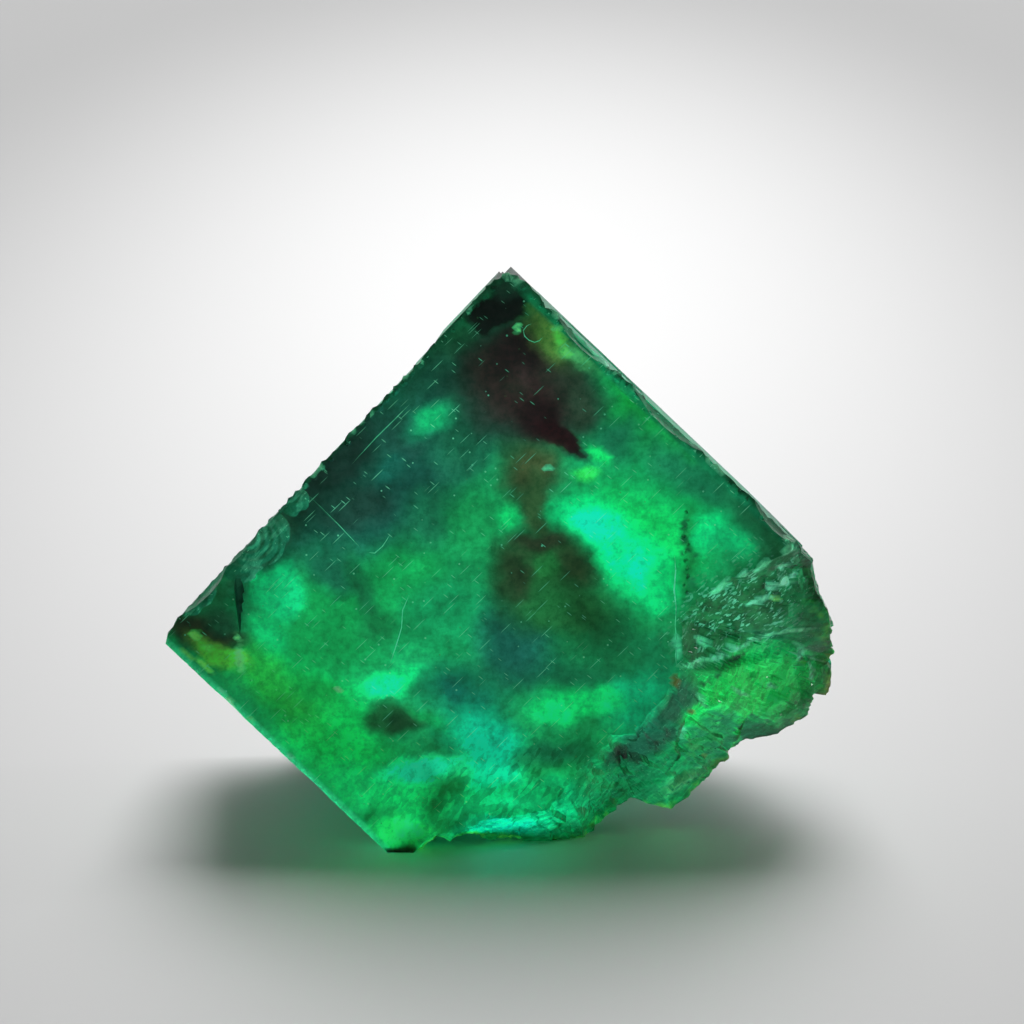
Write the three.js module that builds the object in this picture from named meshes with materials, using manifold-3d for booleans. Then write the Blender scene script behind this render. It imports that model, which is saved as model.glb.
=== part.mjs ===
// Fluorite specimen: one broken cube of green fluorite, standing corner up.
// Units are millimetres, +Z up. The big flat cube face looks toward -Y.
//
// The crystal is worked out in its own axes first: x to the right along the big
// front face, w up that face, d going back into the crystal. At the end it leans
// back by LEAN, is ground flat where it touches the ground, and is centred.

import * as THREE from "three";
import { mergeVertices } from "three/addons/utils/BufferGeometryUtils.js";
import Module from "manifold-3d";

// ---- driving dimensions -------------------------------------------------

const EDGE = 22.5; // length of the upper left edge of the big front face
const BREADTH = 25.0; // length the upper right edge had before the break
const DEPTH = 19.0; // front cube face to back cube face
const ROLL = 1.6; // degrees the cube is turned off exact corner-up
const LEAN = 7.4; // degrees the front face leans back
const APEX = [0.35, 25.9]; // top corner of the front face (x, w)
const BLUNT = 0.45; // width of the worn flat on the left corner

const HEART = [1.5, 13.0]; // point the break is laid out around (x, w)
const CUT_REACH = 34; // how far out the broken-off volume extends
const FRONT_ROWS = 6; // rows of the break from the front face to its widest line
const BACK_ROWS = 19; // rows from the widest line to the back face
const COLUMN_STEP = 1.6; // degrees between columns of the break

const CLEAVE_COUNT = 46; // flat cleavage patches on the broken side
const CLEAVE_LIMIT = 0.9; // how far a patch may stand off the mean surface
const SEED = 4181;

const MID_D = 9.5; // depths of the hidden outlines of the break
const FOOT_D = 14.8;

// ---- outlines of the break, each from lower left, under, and up the right --

// where the flat front face ends (x, w), d = 0
const RIM = [
  [-8.0, -0.4], [-5.0, -0.1], [-3.9, -0.1], [-3.4, 0.4], [-2.5, 0.9], [-1.9, 0.9],
  [-1.2, 1.2], [-0.4, 1.6], [1.2, 1.7], [2.2, 2.1], [3.0, 2.9], [4.0, 4.3],
  [5.0, 5.0], [5.9, 5.6], [6.8, 6.5], [7.5, 7.2], [8.0, 8.0], [8.2, 8.8],
  [8.1, 9.8], [8.3, 10.8], [8.9, 11.4], [9.8, 12.0], [10.9, 12.5], [12.0, 13.1],
  [13.1, 13.6], [13.2, 15.6],
];

// the widest line of the break (x, w, d), the outline seen from the front
const GIRTH = [
  [-8.0, -0.6, 0.3], [-5.0, -0.2, 0.3], [-3.9, -0.2, 0.9], [-3.4, 0.2, 0.6],
  [-2.7, 0.8, 0.5], [-2.2, 0.4, 0.9], [-1.7, 0.9, 0.9], [-1.2, 0.9, 1.0],
  [-0.6, 0.5, 1.7], [0.5, 0.4, 2.1], [1.6, 0.1, 2.3], [2.7, 0.1, 2.6],
  [3.8, 0.3, 3.0], [4.2, 0.7, 3.3], [5.0, 1.4, 3.7], [6.0, 2.0, 4.0],
  [6.7, 1.7, 4.6], [7.8, 1.4, 5.0], [8.5, 1.8, 5.2], [9.3, 2.8, 5.4],
  [10.1, 3.6, 5.6], [11.3, 4.5, 5.6], [12.5, 4.8, 5.4], [13.9, 5.8, 5.6],
  [14.6, 6.5, 5.8], [15.2, 7.2, 5.8], [15.3, 7.7, 5.6], [15.0, 8.4, 5.0],
  [15.2, 8.8, 4.4], [15.0, 9.4, 3.6], [15.0, 10.0, 3.2], [14.8, 10.8, 2.9],
  [14.4, 11.6, 2.7], [14.1, 12.6, 2.5], [14.2, 13.1, 2.0], [13.9, 13.6, 1.4],
  [13.6, 15.8, 0.8],
];

// hidden outlines further back (x, w)
const MID = [
  [-9.0, 0.6], [-6.2, 1.4], [-3.5, 2.8], [-0.5, 2.4], [3.5, 2.6], [6.5, 3.6],
  [8.5, 3.6], [11.0, 5.6], [13.3, 7.4], [14.3, 9.8], [14.3, 12.0], [14.2, 15.6],
];
const FOOT = [
  [-9.5, 2.0], [-6.8, 1.7], [-5.2, 1.7], [-1.0, 1.6], [2.6, 1.6], [4.8, 2.8],
  [7.5, 4.0], [9.3, 5.8], [12.2, 8.2], [13.5, 10.8], [13.9, 12.2], [13.8, 15.8],
];
const HIND = [
  [-10.0, 3.0], [-7.8, 2.9], [-4.4, 3.9], [-1.4, 3.2], [2.2, 3.8], [4.6, 4.6],
  [7.6, 6.8], [9.4, 7.6], [11.4, 10.2], [12.3, 12.4], [12.4, 13.4], [13.2, 16.0],
];

// how full the break is between the rim and its widest line: [angle, fullness]
const FULLNESS = [
  [-133, 1.0], [-105, 0.8], [-75, 0.7], [-62, 1.1], [-50, 0.65], [-30, 0.75],
  [-19.5, 0.7], [-17.5, 1.7], [-8, 1.5], [0, 1.1], [13, 1.0],
];

// ---- small helpers --------------------------------------------------------

const RAD = Math.PI / 180;

function makeRandom(seed) {
  let state = seed >>> 0;
  return () => {
    state = (state + 0x6d2b79f5) >>> 0;
    let t = state;
    t = Math.imul(t ^ (t >>> 15), t | 1);
    t ^= t + Math.imul(t ^ (t >>> 7), t | 61);
    return ((t ^ (t >>> 14)) >>> 0) / 4294967296;
  };
}

function mix(a, b, t) {
  return a + (b - a) * t;
}

function clamp(value, low, high) {
  return Math.min(high, Math.max(low, value));
}

function smooth(low, high, value) {
  const t = clamp((value - low) / (high - low), 0, 1);
  return t * t * (3 - 2 * t);
}

// crystal axes (x, w, d) to the standing pose
function stand(x, w, d) {
  const lean = LEAN * RAD;
  return [
    x,
    d * Math.cos(lean) + w * Math.sin(lean),
    w * Math.cos(lean) - d * Math.sin(lean),
  ];
}

// an outline given as points becomes a lookup from angle about HEART to distance
function makeLookup(points) {
  const polar = points.map(([x, w, d = 0]) => {
    const dx = x - HEART[0];
    const dw = w - HEART[1];
    return { angle: Math.atan2(dw, dx) / RAD, dx, dw, d };
  });
  return (angle) => {
    let i = 0;
    while (i < polar.length - 2 && angle > polar[i + 1].angle) i += 1;
    const a = polar[i];
    const b = polar[i + 1];
    const ux = Math.cos(angle * RAD);
    const uw = Math.sin(angle * RAD);
    const ex = b.dx - a.dx;
    const ew = b.dw - a.dw;
    const across = ux * ew - uw * ex;
    const t = clamp((uw * a.dx - ux * a.dw) / across, 0, 1);
    const px = a.dx + ex * t;
    const pw = a.dw + ew * t;
    return { r: Math.hypot(px, pw), d: mix(a.d, b.d, t) };
  };
}

// ---- the broken side ------------------------------------------------------

function fullnessAt(angle) {
  let i = 0;
  while (i < FULLNESS.length - 2 && angle > FULLNESS[i + 1][0]) i += 1;
  const [a0, f0] = FULLNESS[i];
  const [a1, f1] = FULLNESS[i + 1];
  return mix(f0, f1, clamp((angle - a0) / (a1 - a0), 0, 1));
}

const lookRim = makeLookup(RIM);
const lookGirth = makeLookup(GIRTH);
const lookMid = makeLookup(MID);
const lookFoot = makeLookup(FOOT);
const lookHind = makeLookup(HIND);

// mean distance of the break from HEART, for an angle and a depth
function breakRadius(angle, d) {
  const girth = lookGirth(angle);
  if (d <= girth.d) {
    const t = clamp(d / girth.d, 0, 1) ** fullnessAt(angle);
    return mix(lookRim(angle).r, girth.r, t);
  }
  const mid = lookMid(angle).r;
  const foot = lookFoot(angle).r;
  if (d <= MID_D) {
    const t = (d - girth.d) / (MID_D - girth.d);
    return mix(girth.r, mid, t);
  }
  if (d <= FOOT_D) {
    return mix(mid, foot, (d - MID_D) / (FOOT_D - MID_D));
  }
  return mix(foot, lookHind(angle).r, clamp((d - FOOT_D) / (DEPTH - FOOT_D), 0, 1));
}

function breakPoint(angle, d, r) {
  return new THREE.Vector3(
    HEART[0] + r * Math.cos(angle * RAD),
    HEART[1] + r * Math.sin(angle * RAD),
    d,
  );
}

// the four octahedral cleavage directions that face the broken side, and the two
// cube directions, all in crystal axes
function cleavageNormals() {
  const out = Math.sqrt(2 / 3);
  const deep = Math.sqrt(1 / 3);
  const half = Math.SQRT1_2;
  const plain = [
    [0, -out, -deep], [0, -out, deep], [out, 0, -deep], [out, 0, deep],
    [half, -half, 0], [0.35, -0.9, 0.25],
  ];
  return plain.map(([x, w, d]) => {
    const n = new THREE.Vector3(x, w, d);
    return n.applyAxisAngle(new THREE.Vector3(0, 0, 1), ROLL * RAD).normalize();
  });
}

const FIRST_ANGLE = -133;
const LAST_ANGLE = 13;

// flat patches: each has a centre on the mean break and one cleavage direction
function makePatches() {
  const random = makeRandom(SEED);
  const normals = cleavageNormals();
  const patches = [];
  while (patches.length < CLEAVE_COUNT) {
    const angle = mix(FIRST_ANGLE, LAST_ANGLE, random());
    const d = mix(0, DEPTH, random());
    const centre = breakPoint(angle, d, breakRadius(angle, d));
    const step = 0.4;
    const along = breakPoint(angle + 2, d, breakRadius(angle + 2, d)).sub(centre);
    const deeper = breakPoint(angle, d + step, breakRadius(angle, d + step)).sub(centre);
    const facing = along.cross(deeper).normalize();
    const outward = new THREE.Vector3(centre.x - HEART[0], centre.y - HEART[1], 0);
    if (facing.dot(outward) < 0) facing.negate();
    let best = normals[0];
    let score = -9;
    for (const n of normals) {
      const value = n.dot(facing) + random() * 0.3;
      if (value > score) {
        score = value;
        best = n;
      }
    }
    const lift = (random() - 0.5) * 0.3;
    patches.push({ centre, normal: best, lift });
  }
  return patches;
}

const PATCHES = makePatches();

// how far a point of the mean break moves in or out to lie on its patch; near the
// border of two patches the deeper one wins, so most borders are clean edges
function patchShift(point, angle) {
  const out = new THREE.Vector3(Math.cos(angle * RAD), Math.sin(angle * RAD), 0);
  const near = [];
  for (const patch of PATCHES) {
    const dx = point.x - patch.centre.x;
    const dw = point.y - patch.centre.y;
    const dd = (point.z - patch.centre.z) * 0.8;
    near.push({ far: Math.hypot(dx, dw, dd), patch });
  }
  near.sort((a, b) => a.far - b.far);
  const shifts = near.slice(0, 2).map(({ patch }) => {
    const slope = out.dot(patch.normal);
    if (slope < 0.3) return 0;
    const gap = patch.centre.clone().sub(point).dot(patch.normal) / slope;
    return clamp(gap + patch.lift, -CLEAVE_LIMIT, CLEAVE_LIMIT);
  });
  const close = near[1].far < near[0].far * 1.35;
  return close ? Math.min(shifts[0], shifts[1]) : shifts[0];
}

// closed solid between a grid of inner points and a grid of outer points
function gridSolid(inner, outer) {
  const cols = inner.length;
  const rows = inner[0].length;
  const positions = [];
  for (const grid of [inner, outer]) {
    for (const column of grid) {
      for (const point of column) positions.push(...stand(point.x, point.y, point.z));
    }
  }
  const at = (layer, i, j) => layer * cols * rows + i * rows + j;
  const index = [];
  const quad = (a, b, c, d) => {
    index.push(a, b, c, a, c, d);
  };
  for (let i = 0; i < cols - 1; i += 1) {
    for (let j = 0; j < rows - 1; j += 1) {
      quad(at(0, i, j), at(0, i + 1, j), at(0, i + 1, j + 1), at(0, i, j + 1));
      quad(at(1, i, j), at(1, i, j + 1), at(1, i + 1, j + 1), at(1, i + 1, j));
    }
    quad(at(0, i, 0), at(1, i, 0), at(1, i + 1, 0), at(0, i + 1, 0));
    const top = rows - 1;
    quad(at(0, i, top), at(0, i + 1, top), at(1, i + 1, top), at(1, i, top));
  }
  for (let j = 0; j < rows - 1; j += 1) {
    quad(at(0, 0, j), at(0, 0, j + 1), at(1, 0, j + 1), at(1, 0, j));
    const end = cols - 1;
    quad(at(0, end, j), at(1, end, j), at(1, end, j + 1), at(0, end, j + 1));
  }
  return { positions, index };
}

// everything that has broken away, as one closed volume
function brokenAway() {
  const angles = [];
  const marks = GIRTH.map(([x, w]) => Math.atan2(w - HEART[1], x - HEART[0]) / RAD);
  marks.unshift(FIRST_ANGLE);
  marks.push(LAST_ANGLE);
  marks.sort((a, b) => a - b);
  for (let k = 0; k < marks.length - 1; k += 1) {
    const span = marks[k + 1] - marks[k];
    if (span < 0.25) continue;
    const parts = Math.max(1, Math.round(span / COLUMN_STEP));
    for (let n = 0; n < parts; n += 1) angles.push(marks[k] + (span * n) / parts);
  }
  angles.push(LAST_ANGLE);

  const inner = [];
  const outer = [];
  for (const angle of angles) {
    const girthD = lookGirth(angle).d;
    const depths = [];
    for (let n = 0; n < FRONT_ROWS; n += 1) depths.push((girthD * n) / FRONT_ROWS);
    for (let n = 0; n <= BACK_ROWS; n += 1) {
      depths.push(mix(girthD, DEPTH, n / BACK_ROWS));
    }
    const line = depths.map((d) => {
      const r = breakRadius(angle, d);
      const keep = smooth(0, 1.6, Math.abs(d - girthD)) * smooth(0, 1.0, d);
      const shift = patchShift(breakPoint(angle, d, r), angle) * mix(0.12, 1, keep);
      const widest = lookGirth(angle).r;
      const moved = d > girthD ? Math.min(r + shift, Math.max(r, widest)) : r + shift;
      return breakPoint(angle, d, moved);
    });
    const first = line[0].clone();
    first.z = -3;
    const last = line[line.length - 1].clone();
    last.z = DEPTH + 3;
    const column = [first, ...line, last];
    inner.push(column);
    outer.push(column.map((p) => breakPoint(angle, p.z, CUT_REACH)));
  }
  return gridSolid(inner, outer);
}

// ---- the cube -------------------------------------------------------------

// a straight block whose outline is given as (x, w) points, from d0 to d1
function block(outline, d0, d1) {
  const positions = [];
  for (const d of [d0, d1]) {
    for (const [x, w] of outline) positions.push(...stand(x, w, d));
  }
  const n = outline.length;
  const index = [];
  for (let i = 1; i < n - 1; i += 1) {
    index.push(0, i, i + 1);
    index.push(n, n + i + 1, n + i);
  }
  for (let i = 0; i < n; i += 1) {
    const next = (i + 1) % n;
    index.push(i, n + i, n + next);
    index.push(i, n + next, next);
  }
  return { positions, index };
}

// unit vectors down the two upper edges of the front face
const DOWN_LEFT = [-Math.cos((45 + ROLL) * RAD), -Math.sin((45 + ROLL) * RAD)];
const DOWN_RIGHT = [Math.cos((45 - ROLL) * RAD), -Math.sin((45 - ROLL) * RAD)];

// point of the front face given by distances down the two upper edges
function onFace(left, right) {
  return [
    APEX[0] + DOWN_LEFT[0] * left + DOWN_RIGHT[0] * right,
    APEX[1] + DOWN_LEFT[1] * left + DOWN_RIGHT[1] * right,
  ];
}

// a rectangle of the front face, between distances down the two upper edges
function faceRect(left0, left1, right0, right1) {
  return [
    onFace(left0, right0), onFace(left1, right0),
    onFace(left1, right1), onFace(left0, right1),
  ];
}

function cubeOutline() {
  return [
    onFace(0, 0), onFace(EDGE - BLUNT, 0),
    onFace(EDGE, BLUNT * 0.6), onFace(EDGE, BREADTH), onFace(0, BREADTH),
  ];
}

// thin growth layers lying on the faces: [left0, left1, right0, right1, d0, d1]
const LAYERS = [
  [3.0, EDGE - 2.2, 2.6, 15.0, DEPTH - 0.4, DEPTH + 0.3], // on the back face
  [6.0, 15.5, 5.2, 12.2, DEPTH - 0.4, DEPTH + 0.55],
  [4.5, 13.5, -0.1, 1.0, 4.2, 13.6], // on the upper right face
  [-0.1, 1.0, 8.5, 15.5, 5.6, 14.4], // on the upper left face
  [EDGE - 1.0, EDGE + 0.14, 2.4, 9.8, 4.2, 15.6], // on the lower left face
];

// ---- chips and dished breaks ----------------------------------------------

// chips on the edges: [left, right, d, radius, stretch along the edge]
const CHIPS = [
  [0.9, -0.85, DEPTH + 0.1, 1.15, 0.9], // beside the apex, back
  [-0.85, 1.2, DEPTH - 0.2, 1.1, 0.9],
  [0.4, -0.95, 0.3, 1.15, 1.1], // worn apex, front
  [-0.75, 0.8, 0.2, 0.95, 1.2],
  [14.6, -1.3, DEPTH - 0.1, 1.5, 1.3], // upper left, hind edge
  [7.9, -1.35, DEPTH, 1.5, 1.8],
  [19.6, -1.35, -0.3, 1.6, 1.6], // rippled chip near the left corner
  [17.2, -1.5, -0.3, 1.65, 1.2],
  [-1.4, 4.6, -0.4, 1.6, 1.8], // upper right, front edge
  [-1.45, 9.6, -0.4, 1.62, 2.2],
  [-1.5, 16.4, -0.3, 1.65, 1.4],
  [-1.3, 11.2, DEPTH + 0.1, 1.5, 1.4],
  [EDGE + 1.3, 4.2, -0.3, 1.45, 1.6], // lower left edge
  [EDGE + 1.4, 9.4, -0.3, 1.55, 1.6],
  [EDGE + 1.3, 5.8, DEPTH, 1.65, 1.6],
  [EDGE + 0.5, -0.6, DEPTH - 0.2, 1.5, 1.0], // left corner, back
];

// dished breaks: [x, w, d, radius, flatten], shallow scoops out of the fracture
const DISHES = [
  [4.4, -0.8, -1.5, 3.4, 0.9],
  [10.8, 9.0, -3.1, 3.7, 0.8],
  [15.9, 5.8, 11.2, 3.4, 1.1],
  [9.4, 0.0, 9.6, 4.0, 0.8],
  [15.6, 9.6, 17.2, 3.6, 0.9],
  [4.6, 1.0, 20.8, 4.0, 0.9],
];

function scoop(centre, radius, stretch, axis, detail) {
  const ball = new THREE.IcosahedronGeometry(radius, detail);
  ball.deleteAttribute("normal");
  ball.deleteAttribute("uv");
  const merged = mergeVertices(ball, 1e-4);
  const turn = new THREE.Quaternion();
  turn.setFromUnitVectors(new THREE.Vector3(1, 0, 0), axis.clone().normalize());
  const place = merged.getAttribute("position");
  const positions = [];
  for (let i = 0; i < place.count; i += 1) {
    const v = new THREE.Vector3().fromBufferAttribute(place, i);
    v.x *= stretch;
    v.applyAxisAngle(new THREE.Vector3(1, 0, 0), 0.3);
    v.applyQuaternion(turn);
    v.add(centre);
    positions.push(...stand(v.x, v.y, v.z));
  }
  return { positions, index: [...merged.getIndex().array] };
}

// ---- putting it together --------------------------------------------------

const wasm = await Module();
wasm.setup();

function signedVolume(positions, index) {
  let total = 0;
  const a = new THREE.Vector3();
  const b = new THREE.Vector3();
  const c = new THREE.Vector3();
  for (let i = 0; i < index.length; i += 3) {
    a.fromArray(positions, index[i] * 3);
    b.fromArray(positions, index[i + 1] * 3);
    c.fromArray(positions, index[i + 2] * 3);
    total += a.dot(b.clone().cross(c)) / 6;
  }
  return total;
}

function toManifold({ positions, index }) {
  const faces = [...index];
  if (signedVolume(positions, faces) < 0) {
    for (let i = 0; i < faces.length; i += 3) {
      [faces[i + 1], faces[i + 2]] = [faces[i + 2], faces[i + 1]];
    }
  }
  return new wasm.Manifold(
    new wasm.Mesh({
      numProp: 3,
      vertProperties: new Float32Array(positions),
      triVerts: new Uint32Array(faces),
    }),
  );
}

function buildCrystal() {
  let body = toManifold(block(cubeOutline(), 0, DEPTH));
  for (const [l0, l1, r0, r1, d0, d1] of LAYERS) {
    body = body.add(toManifold(block(faceRect(l0, l1, r0, r1), d0, d1)));
  }
  body = body.subtract(toManifold(brokenAway()));

  const downLeft = new THREE.Vector3(DOWN_LEFT[0], DOWN_LEFT[1], 0);
  const downRight = new THREE.Vector3(DOWN_RIGHT[0], DOWN_RIGHT[1], 0);
  for (const [left, right, d, radius, stretch] of CHIPS) {
    const [x, w] = onFace(left, right);
    const alongRight = left < 0 || left > EDGE;
    const axis = alongRight ? downRight : downLeft;
    const centre = new THREE.Vector3(x, w, d);
    body = body.subtract(toManifold(scoop(centre, radius, stretch, axis, 2)));
  }
  for (const [x, w, d, radius, stretch] of DISHES) {
    const centre = new THREE.Vector3(x, w, d);
    const axis = new THREE.Vector3(0.9, 0.5, 0.2);
    body = body.subtract(toManifold(scoop(centre, radius, stretch, axis, 3)));
  }

  // everything below the ground plane is worn away, which leaves flat feet
  const slab = new THREE.BoxGeometry(90, 90, 20);
  slab.deleteAttribute("normal");
  slab.deleteAttribute("uv");
  slab.translate(0, 0, -10);
  const merged = mergeVertices(slab, 1e-4);
  body = body.subtract(
    toManifold({
      positions: [...merged.getAttribute("position").array],
      index: [...merged.getIndex().array],
    }),
  );
  return body;
}

function toGeometry(body) {
  const mesh = body.getMesh();
  const flat = new Float32Array(mesh.numVert * 3);
  for (let i = 0; i < mesh.numVert; i += 1) {
    for (let k = 0; k < 3; k += 1) {
      flat[i * 3 + k] = mesh.vertProperties[i * mesh.numProp + k];
    }
  }
  const geometry = new THREE.BufferGeometry();
  geometry.setAttribute("position", new THREE.BufferAttribute(flat, 3));
  geometry.setIndex(new THREE.BufferAttribute(new Uint32Array(mesh.triVerts), 1));
  return geometry;
}

const geometry = toGeometry(buildCrystal());
geometry.computeBoundingBox();
const box = geometry.boundingBox;
geometry.translate(-(box.min.x + box.max.x) / 2, -(box.min.y + box.max.y) / 2, 0);
geometry.computeVertexNormals();

const material = new THREE.MeshStandardMaterial({
  color: 0x12a562,
  roughness: 0.12,
  metalness: 0,
  flatShading: true,
});
material.name = "fluorite";

const crystal = new THREE.Mesh(geometry, material);
crystal.name = "fluorite_crystal";

const group = new THREE.Group();
group.name = "fluorite_specimen";
group.add(crystal);

export default group;
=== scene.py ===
"""Fluorite specimen: one broken cube of green fluorite standing corner up.

The crystal is rebuilt here at a finer grain than its CAD solid: the same block, break
outlines and chips, with finer cleavage steps on the break, nicked edges, worn lips, growth
steps and cracks. Crystal axes are x (right), w (up the big face) and d (into the crystal),
in millimetres; `stand` turns them into the row frame, in metres.
"""

import math

import bmesh
import bpy
import numpy as np
from mathutils import Matrix, Quaternion, Vector
from mathutils.kdtree import KDTree


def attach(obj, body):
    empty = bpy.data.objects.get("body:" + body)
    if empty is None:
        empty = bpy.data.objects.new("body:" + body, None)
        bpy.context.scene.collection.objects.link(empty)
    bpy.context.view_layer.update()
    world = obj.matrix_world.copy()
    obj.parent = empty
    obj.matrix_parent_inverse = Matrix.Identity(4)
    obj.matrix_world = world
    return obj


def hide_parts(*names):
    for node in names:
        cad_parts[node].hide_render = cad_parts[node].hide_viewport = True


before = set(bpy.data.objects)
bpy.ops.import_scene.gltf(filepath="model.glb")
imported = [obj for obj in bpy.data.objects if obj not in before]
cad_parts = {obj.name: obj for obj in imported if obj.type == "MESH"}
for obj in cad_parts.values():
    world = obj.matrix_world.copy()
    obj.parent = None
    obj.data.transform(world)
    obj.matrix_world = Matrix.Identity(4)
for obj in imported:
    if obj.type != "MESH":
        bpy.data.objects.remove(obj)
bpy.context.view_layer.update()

NODE = "fluorite_crystal"
MM = 0.001
RAD = math.pi / 180

# ---- the crystal's dimensions, as in its CAD solid ----------------------------------

EDGE, BREADTH, DEPTH = 22.5, 25.0, 19.0
ROLL, LEAN = 1.6, 7.4
APEX = (0.35, 25.9)
BLUNT = 0.45
HEART = (1.5, 13.0)
CUT_REACH = 34.0
MID_D, FOOT_D = 9.5, 14.8
FIRST_ANGLE, LAST_ANGLE = -133.0, 13.0
CLEAVE_COUNT, CLEAVE_LIMIT, SEED = 46, 0.9, 4181

CELL = 0.16  # cells of the big front face
DEPTHS = (0, 0.3, 0.7, 1.2, 1.9, 2.7, 3.7, 4.8, 6, 7.3, 8.8, 10.5, 12.5, 15, DEPTH)
COLUMNS = 420  # grid of the fine break surface
FRONT_ROWS, BACK_ROWS = 36, 92

RIM = [
    (-8.0, -0.4), (-5.0, -0.1), (-3.9, -0.1), (-3.4, 0.4), (-2.5, 0.9), (-1.9, 0.9),
    (-1.2, 1.2), (-0.4, 1.6), (1.2, 1.7), (2.2, 2.1), (3.0, 2.9), (4.0, 4.3),
    (5.0, 5.0), (5.9, 5.6), (6.8, 6.5), (7.5, 7.2), (8.0, 8.0), (8.2, 8.8),
    (8.1, 9.8), (8.3, 10.8), (8.9, 11.4), (9.8, 12.0), (10.9, 12.5), (12.0, 13.1),
    (13.1, 13.6), (13.2, 15.6),
]
GIRTH = [
    (-8.0, -0.6, 0.3), (-5.0, -0.2, 0.3), (-3.9, -0.2, 0.9), (-3.4, 0.2, 0.6),
    (-2.7, 0.8, 0.5), (-2.2, 0.4, 0.9), (-1.7, 0.9, 0.9), (-1.2, 0.9, 1.0),
    (-0.6, 0.5, 1.7), (0.5, 0.4, 2.1), (1.6, 0.1, 2.3), (2.7, 0.1, 2.6),
    (3.8, 0.3, 3.0), (4.2, 0.7, 3.3), (5.0, 1.4, 3.7), (6.0, 2.0, 4.0),
    (6.7, 1.7, 4.6), (7.8, 1.4, 5.0), (8.5, 1.8, 5.2), (9.3, 2.8, 5.4),
    (10.1, 3.6, 5.6), (11.3, 4.5, 5.6), (12.5, 4.8, 5.4), (13.9, 5.8, 5.6),
    (14.6, 6.5, 5.8), (15.2, 7.2, 5.8), (15.3, 7.7, 5.6), (15.0, 8.4, 5.0),
    (15.2, 8.8, 4.4), (15.0, 9.4, 3.6), (15.0, 10.0, 3.2), (14.8, 10.8, 2.9),
    (14.4, 11.6, 2.7), (14.1, 12.6, 2.5), (14.2, 13.1, 2.0), (13.9, 13.6, 1.4),
    (13.6, 15.8, 0.8),
]
MID = [
    (-9.0, 0.6), (-6.2, 1.4), (-3.5, 2.8), (-0.5, 2.4), (3.5, 2.6), (6.5, 3.6),
    (8.5, 3.6), (11.0, 5.6), (13.3, 7.4), (14.3, 9.8), (14.3, 12.0), (14.2, 15.6),
]
FOOT = [
    (-9.5, 2.0), (-6.8, 1.7), (-5.2, 1.7), (-1.0, 1.6), (2.6, 1.6), (4.8, 2.8),
    (7.5, 4.0), (9.3, 5.8), (12.2, 8.2), (13.5, 10.8), (13.9, 12.2), (13.8, 15.8),
]
HIND = [
    (-10.0, 3.0), (-7.8, 2.9), (-4.4, 3.9), (-1.4, 3.2), (2.2, 3.8), (4.6, 4.6),
    (7.6, 6.8), (9.4, 7.6), (11.4, 10.2), (12.3, 12.4), (12.4, 13.4), (13.2, 16.0),
]
FULLNESS = [
    (-133, 1.0), (-105, 0.8), (-75, 0.7), (-62, 1.1), (-50, 0.65), (-30, 0.75),
    (-15, 1.0), (0, 1.1), (13, 1.0),
]
RIDGE = (-34.5, -13.5)  # bearings where the ridge on the break leaves the rim and the girth
LAYERS = [  # left0, left1, right0, right1, d0, d1
    (3.0, EDGE - 2.2, 2.6, 15.0, DEPTH - 0.4, DEPTH + 0.3),
    (6.0, 15.5, 5.2, 12.2, DEPTH - 0.4, DEPTH + 0.55),
    (4.5, 13.5, -0.1, 1.0, 4.2, 13.6),
    (-0.1, 1.0, 8.5, 15.5, 5.6, 14.4),
    (EDGE - 1.0, EDGE + 0.14, 2.4, 9.8, 4.2, 15.6),
    (0.55, 4.4, -0.25, 0.6, 1.0, DEPTH - 0.4),
    (0.45, 6.4, -0.12, 0.6, 0.6, DEPTH - 0.2),
]
CHIPS = [  # left, right, d, radius, stretch along the edge
    (0.9, -0.85, DEPTH + 0.1, 1.15, 0.9),
    (-0.85, 1.2, DEPTH - 0.2, 1.1, 0.9),
    (-0.2, -0.2, DEPTH + 0.25, 1.05, 1.0),
    (0.4, -0.95, 0.3, 1.15, 1.1),
    (-0.75, 0.8, 0.2, 0.95, 1.2),
    (14.6, -1.3, DEPTH - 0.1, 1.5, 1.3),
    (7.9, -1.35, DEPTH, 1.5, 1.8),
    (19.6, -1.35, -0.3, 1.6, 1.6),
    (17.2, -1.5, -0.3, 1.65, 1.2),
    (-1.4, 4.6, -0.4, 1.6, 1.8),
    (-1.45, 9.6, -0.4, 1.62, 2.2),
    (-1.5, 16.4, -0.3, 1.65, 1.4),
    (-1.3, 11.2, DEPTH + 0.1, 1.5, 1.4),
    (EDGE + 1.3, 4.2, -0.3, 1.45, 1.6),
    (EDGE + 1.4, 9.4, -0.3, 1.55, 1.6),
    (EDGE + 1.3, 5.8, DEPTH, 1.65, 1.6),
    (EDGE + 0.5, -0.6, DEPTH - 0.2, 1.5, 1.0),
]
DISHES = [  # x, w, d, radius, flatten
    (4.4, -0.8, -1.5, 3.4, 0.9),
    (15.9, 5.8, 11.2, 3.4, 1.1),
    (9.4, 0.0, 9.6, 4.0, 0.8),
    (15.6, 9.6, 17.2, 3.6, 0.9),
    (4.6, 1.0, 20.8, 4.0, 0.9),
]
ROUGHER = [  # centre (x, w, d), reach, level: 1 splintered, 0 smooth
    ((11.2, 11.2, 1.5), (3.4, 2.4, 3), 1.0),
    ((13.9, 10.6, 2), (1.0, 1.4, 3), 0.2),
    ((11.5, 7.0, 2), (3.2, 1.8, 4), 0.4),
    ((9.4, 5.2, 3), (1.8, 1.4, 3), 0.35),
    ((14.6, 8.0, 3), (1.2, 2.2, 3), 0.9),
    ((5.0, 4.6, 1), (3.6, 1.6, 3), 0.8),
    ((1.0, 1.0, 2), (5.0, 1.2, 3), 0.75),
]
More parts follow.
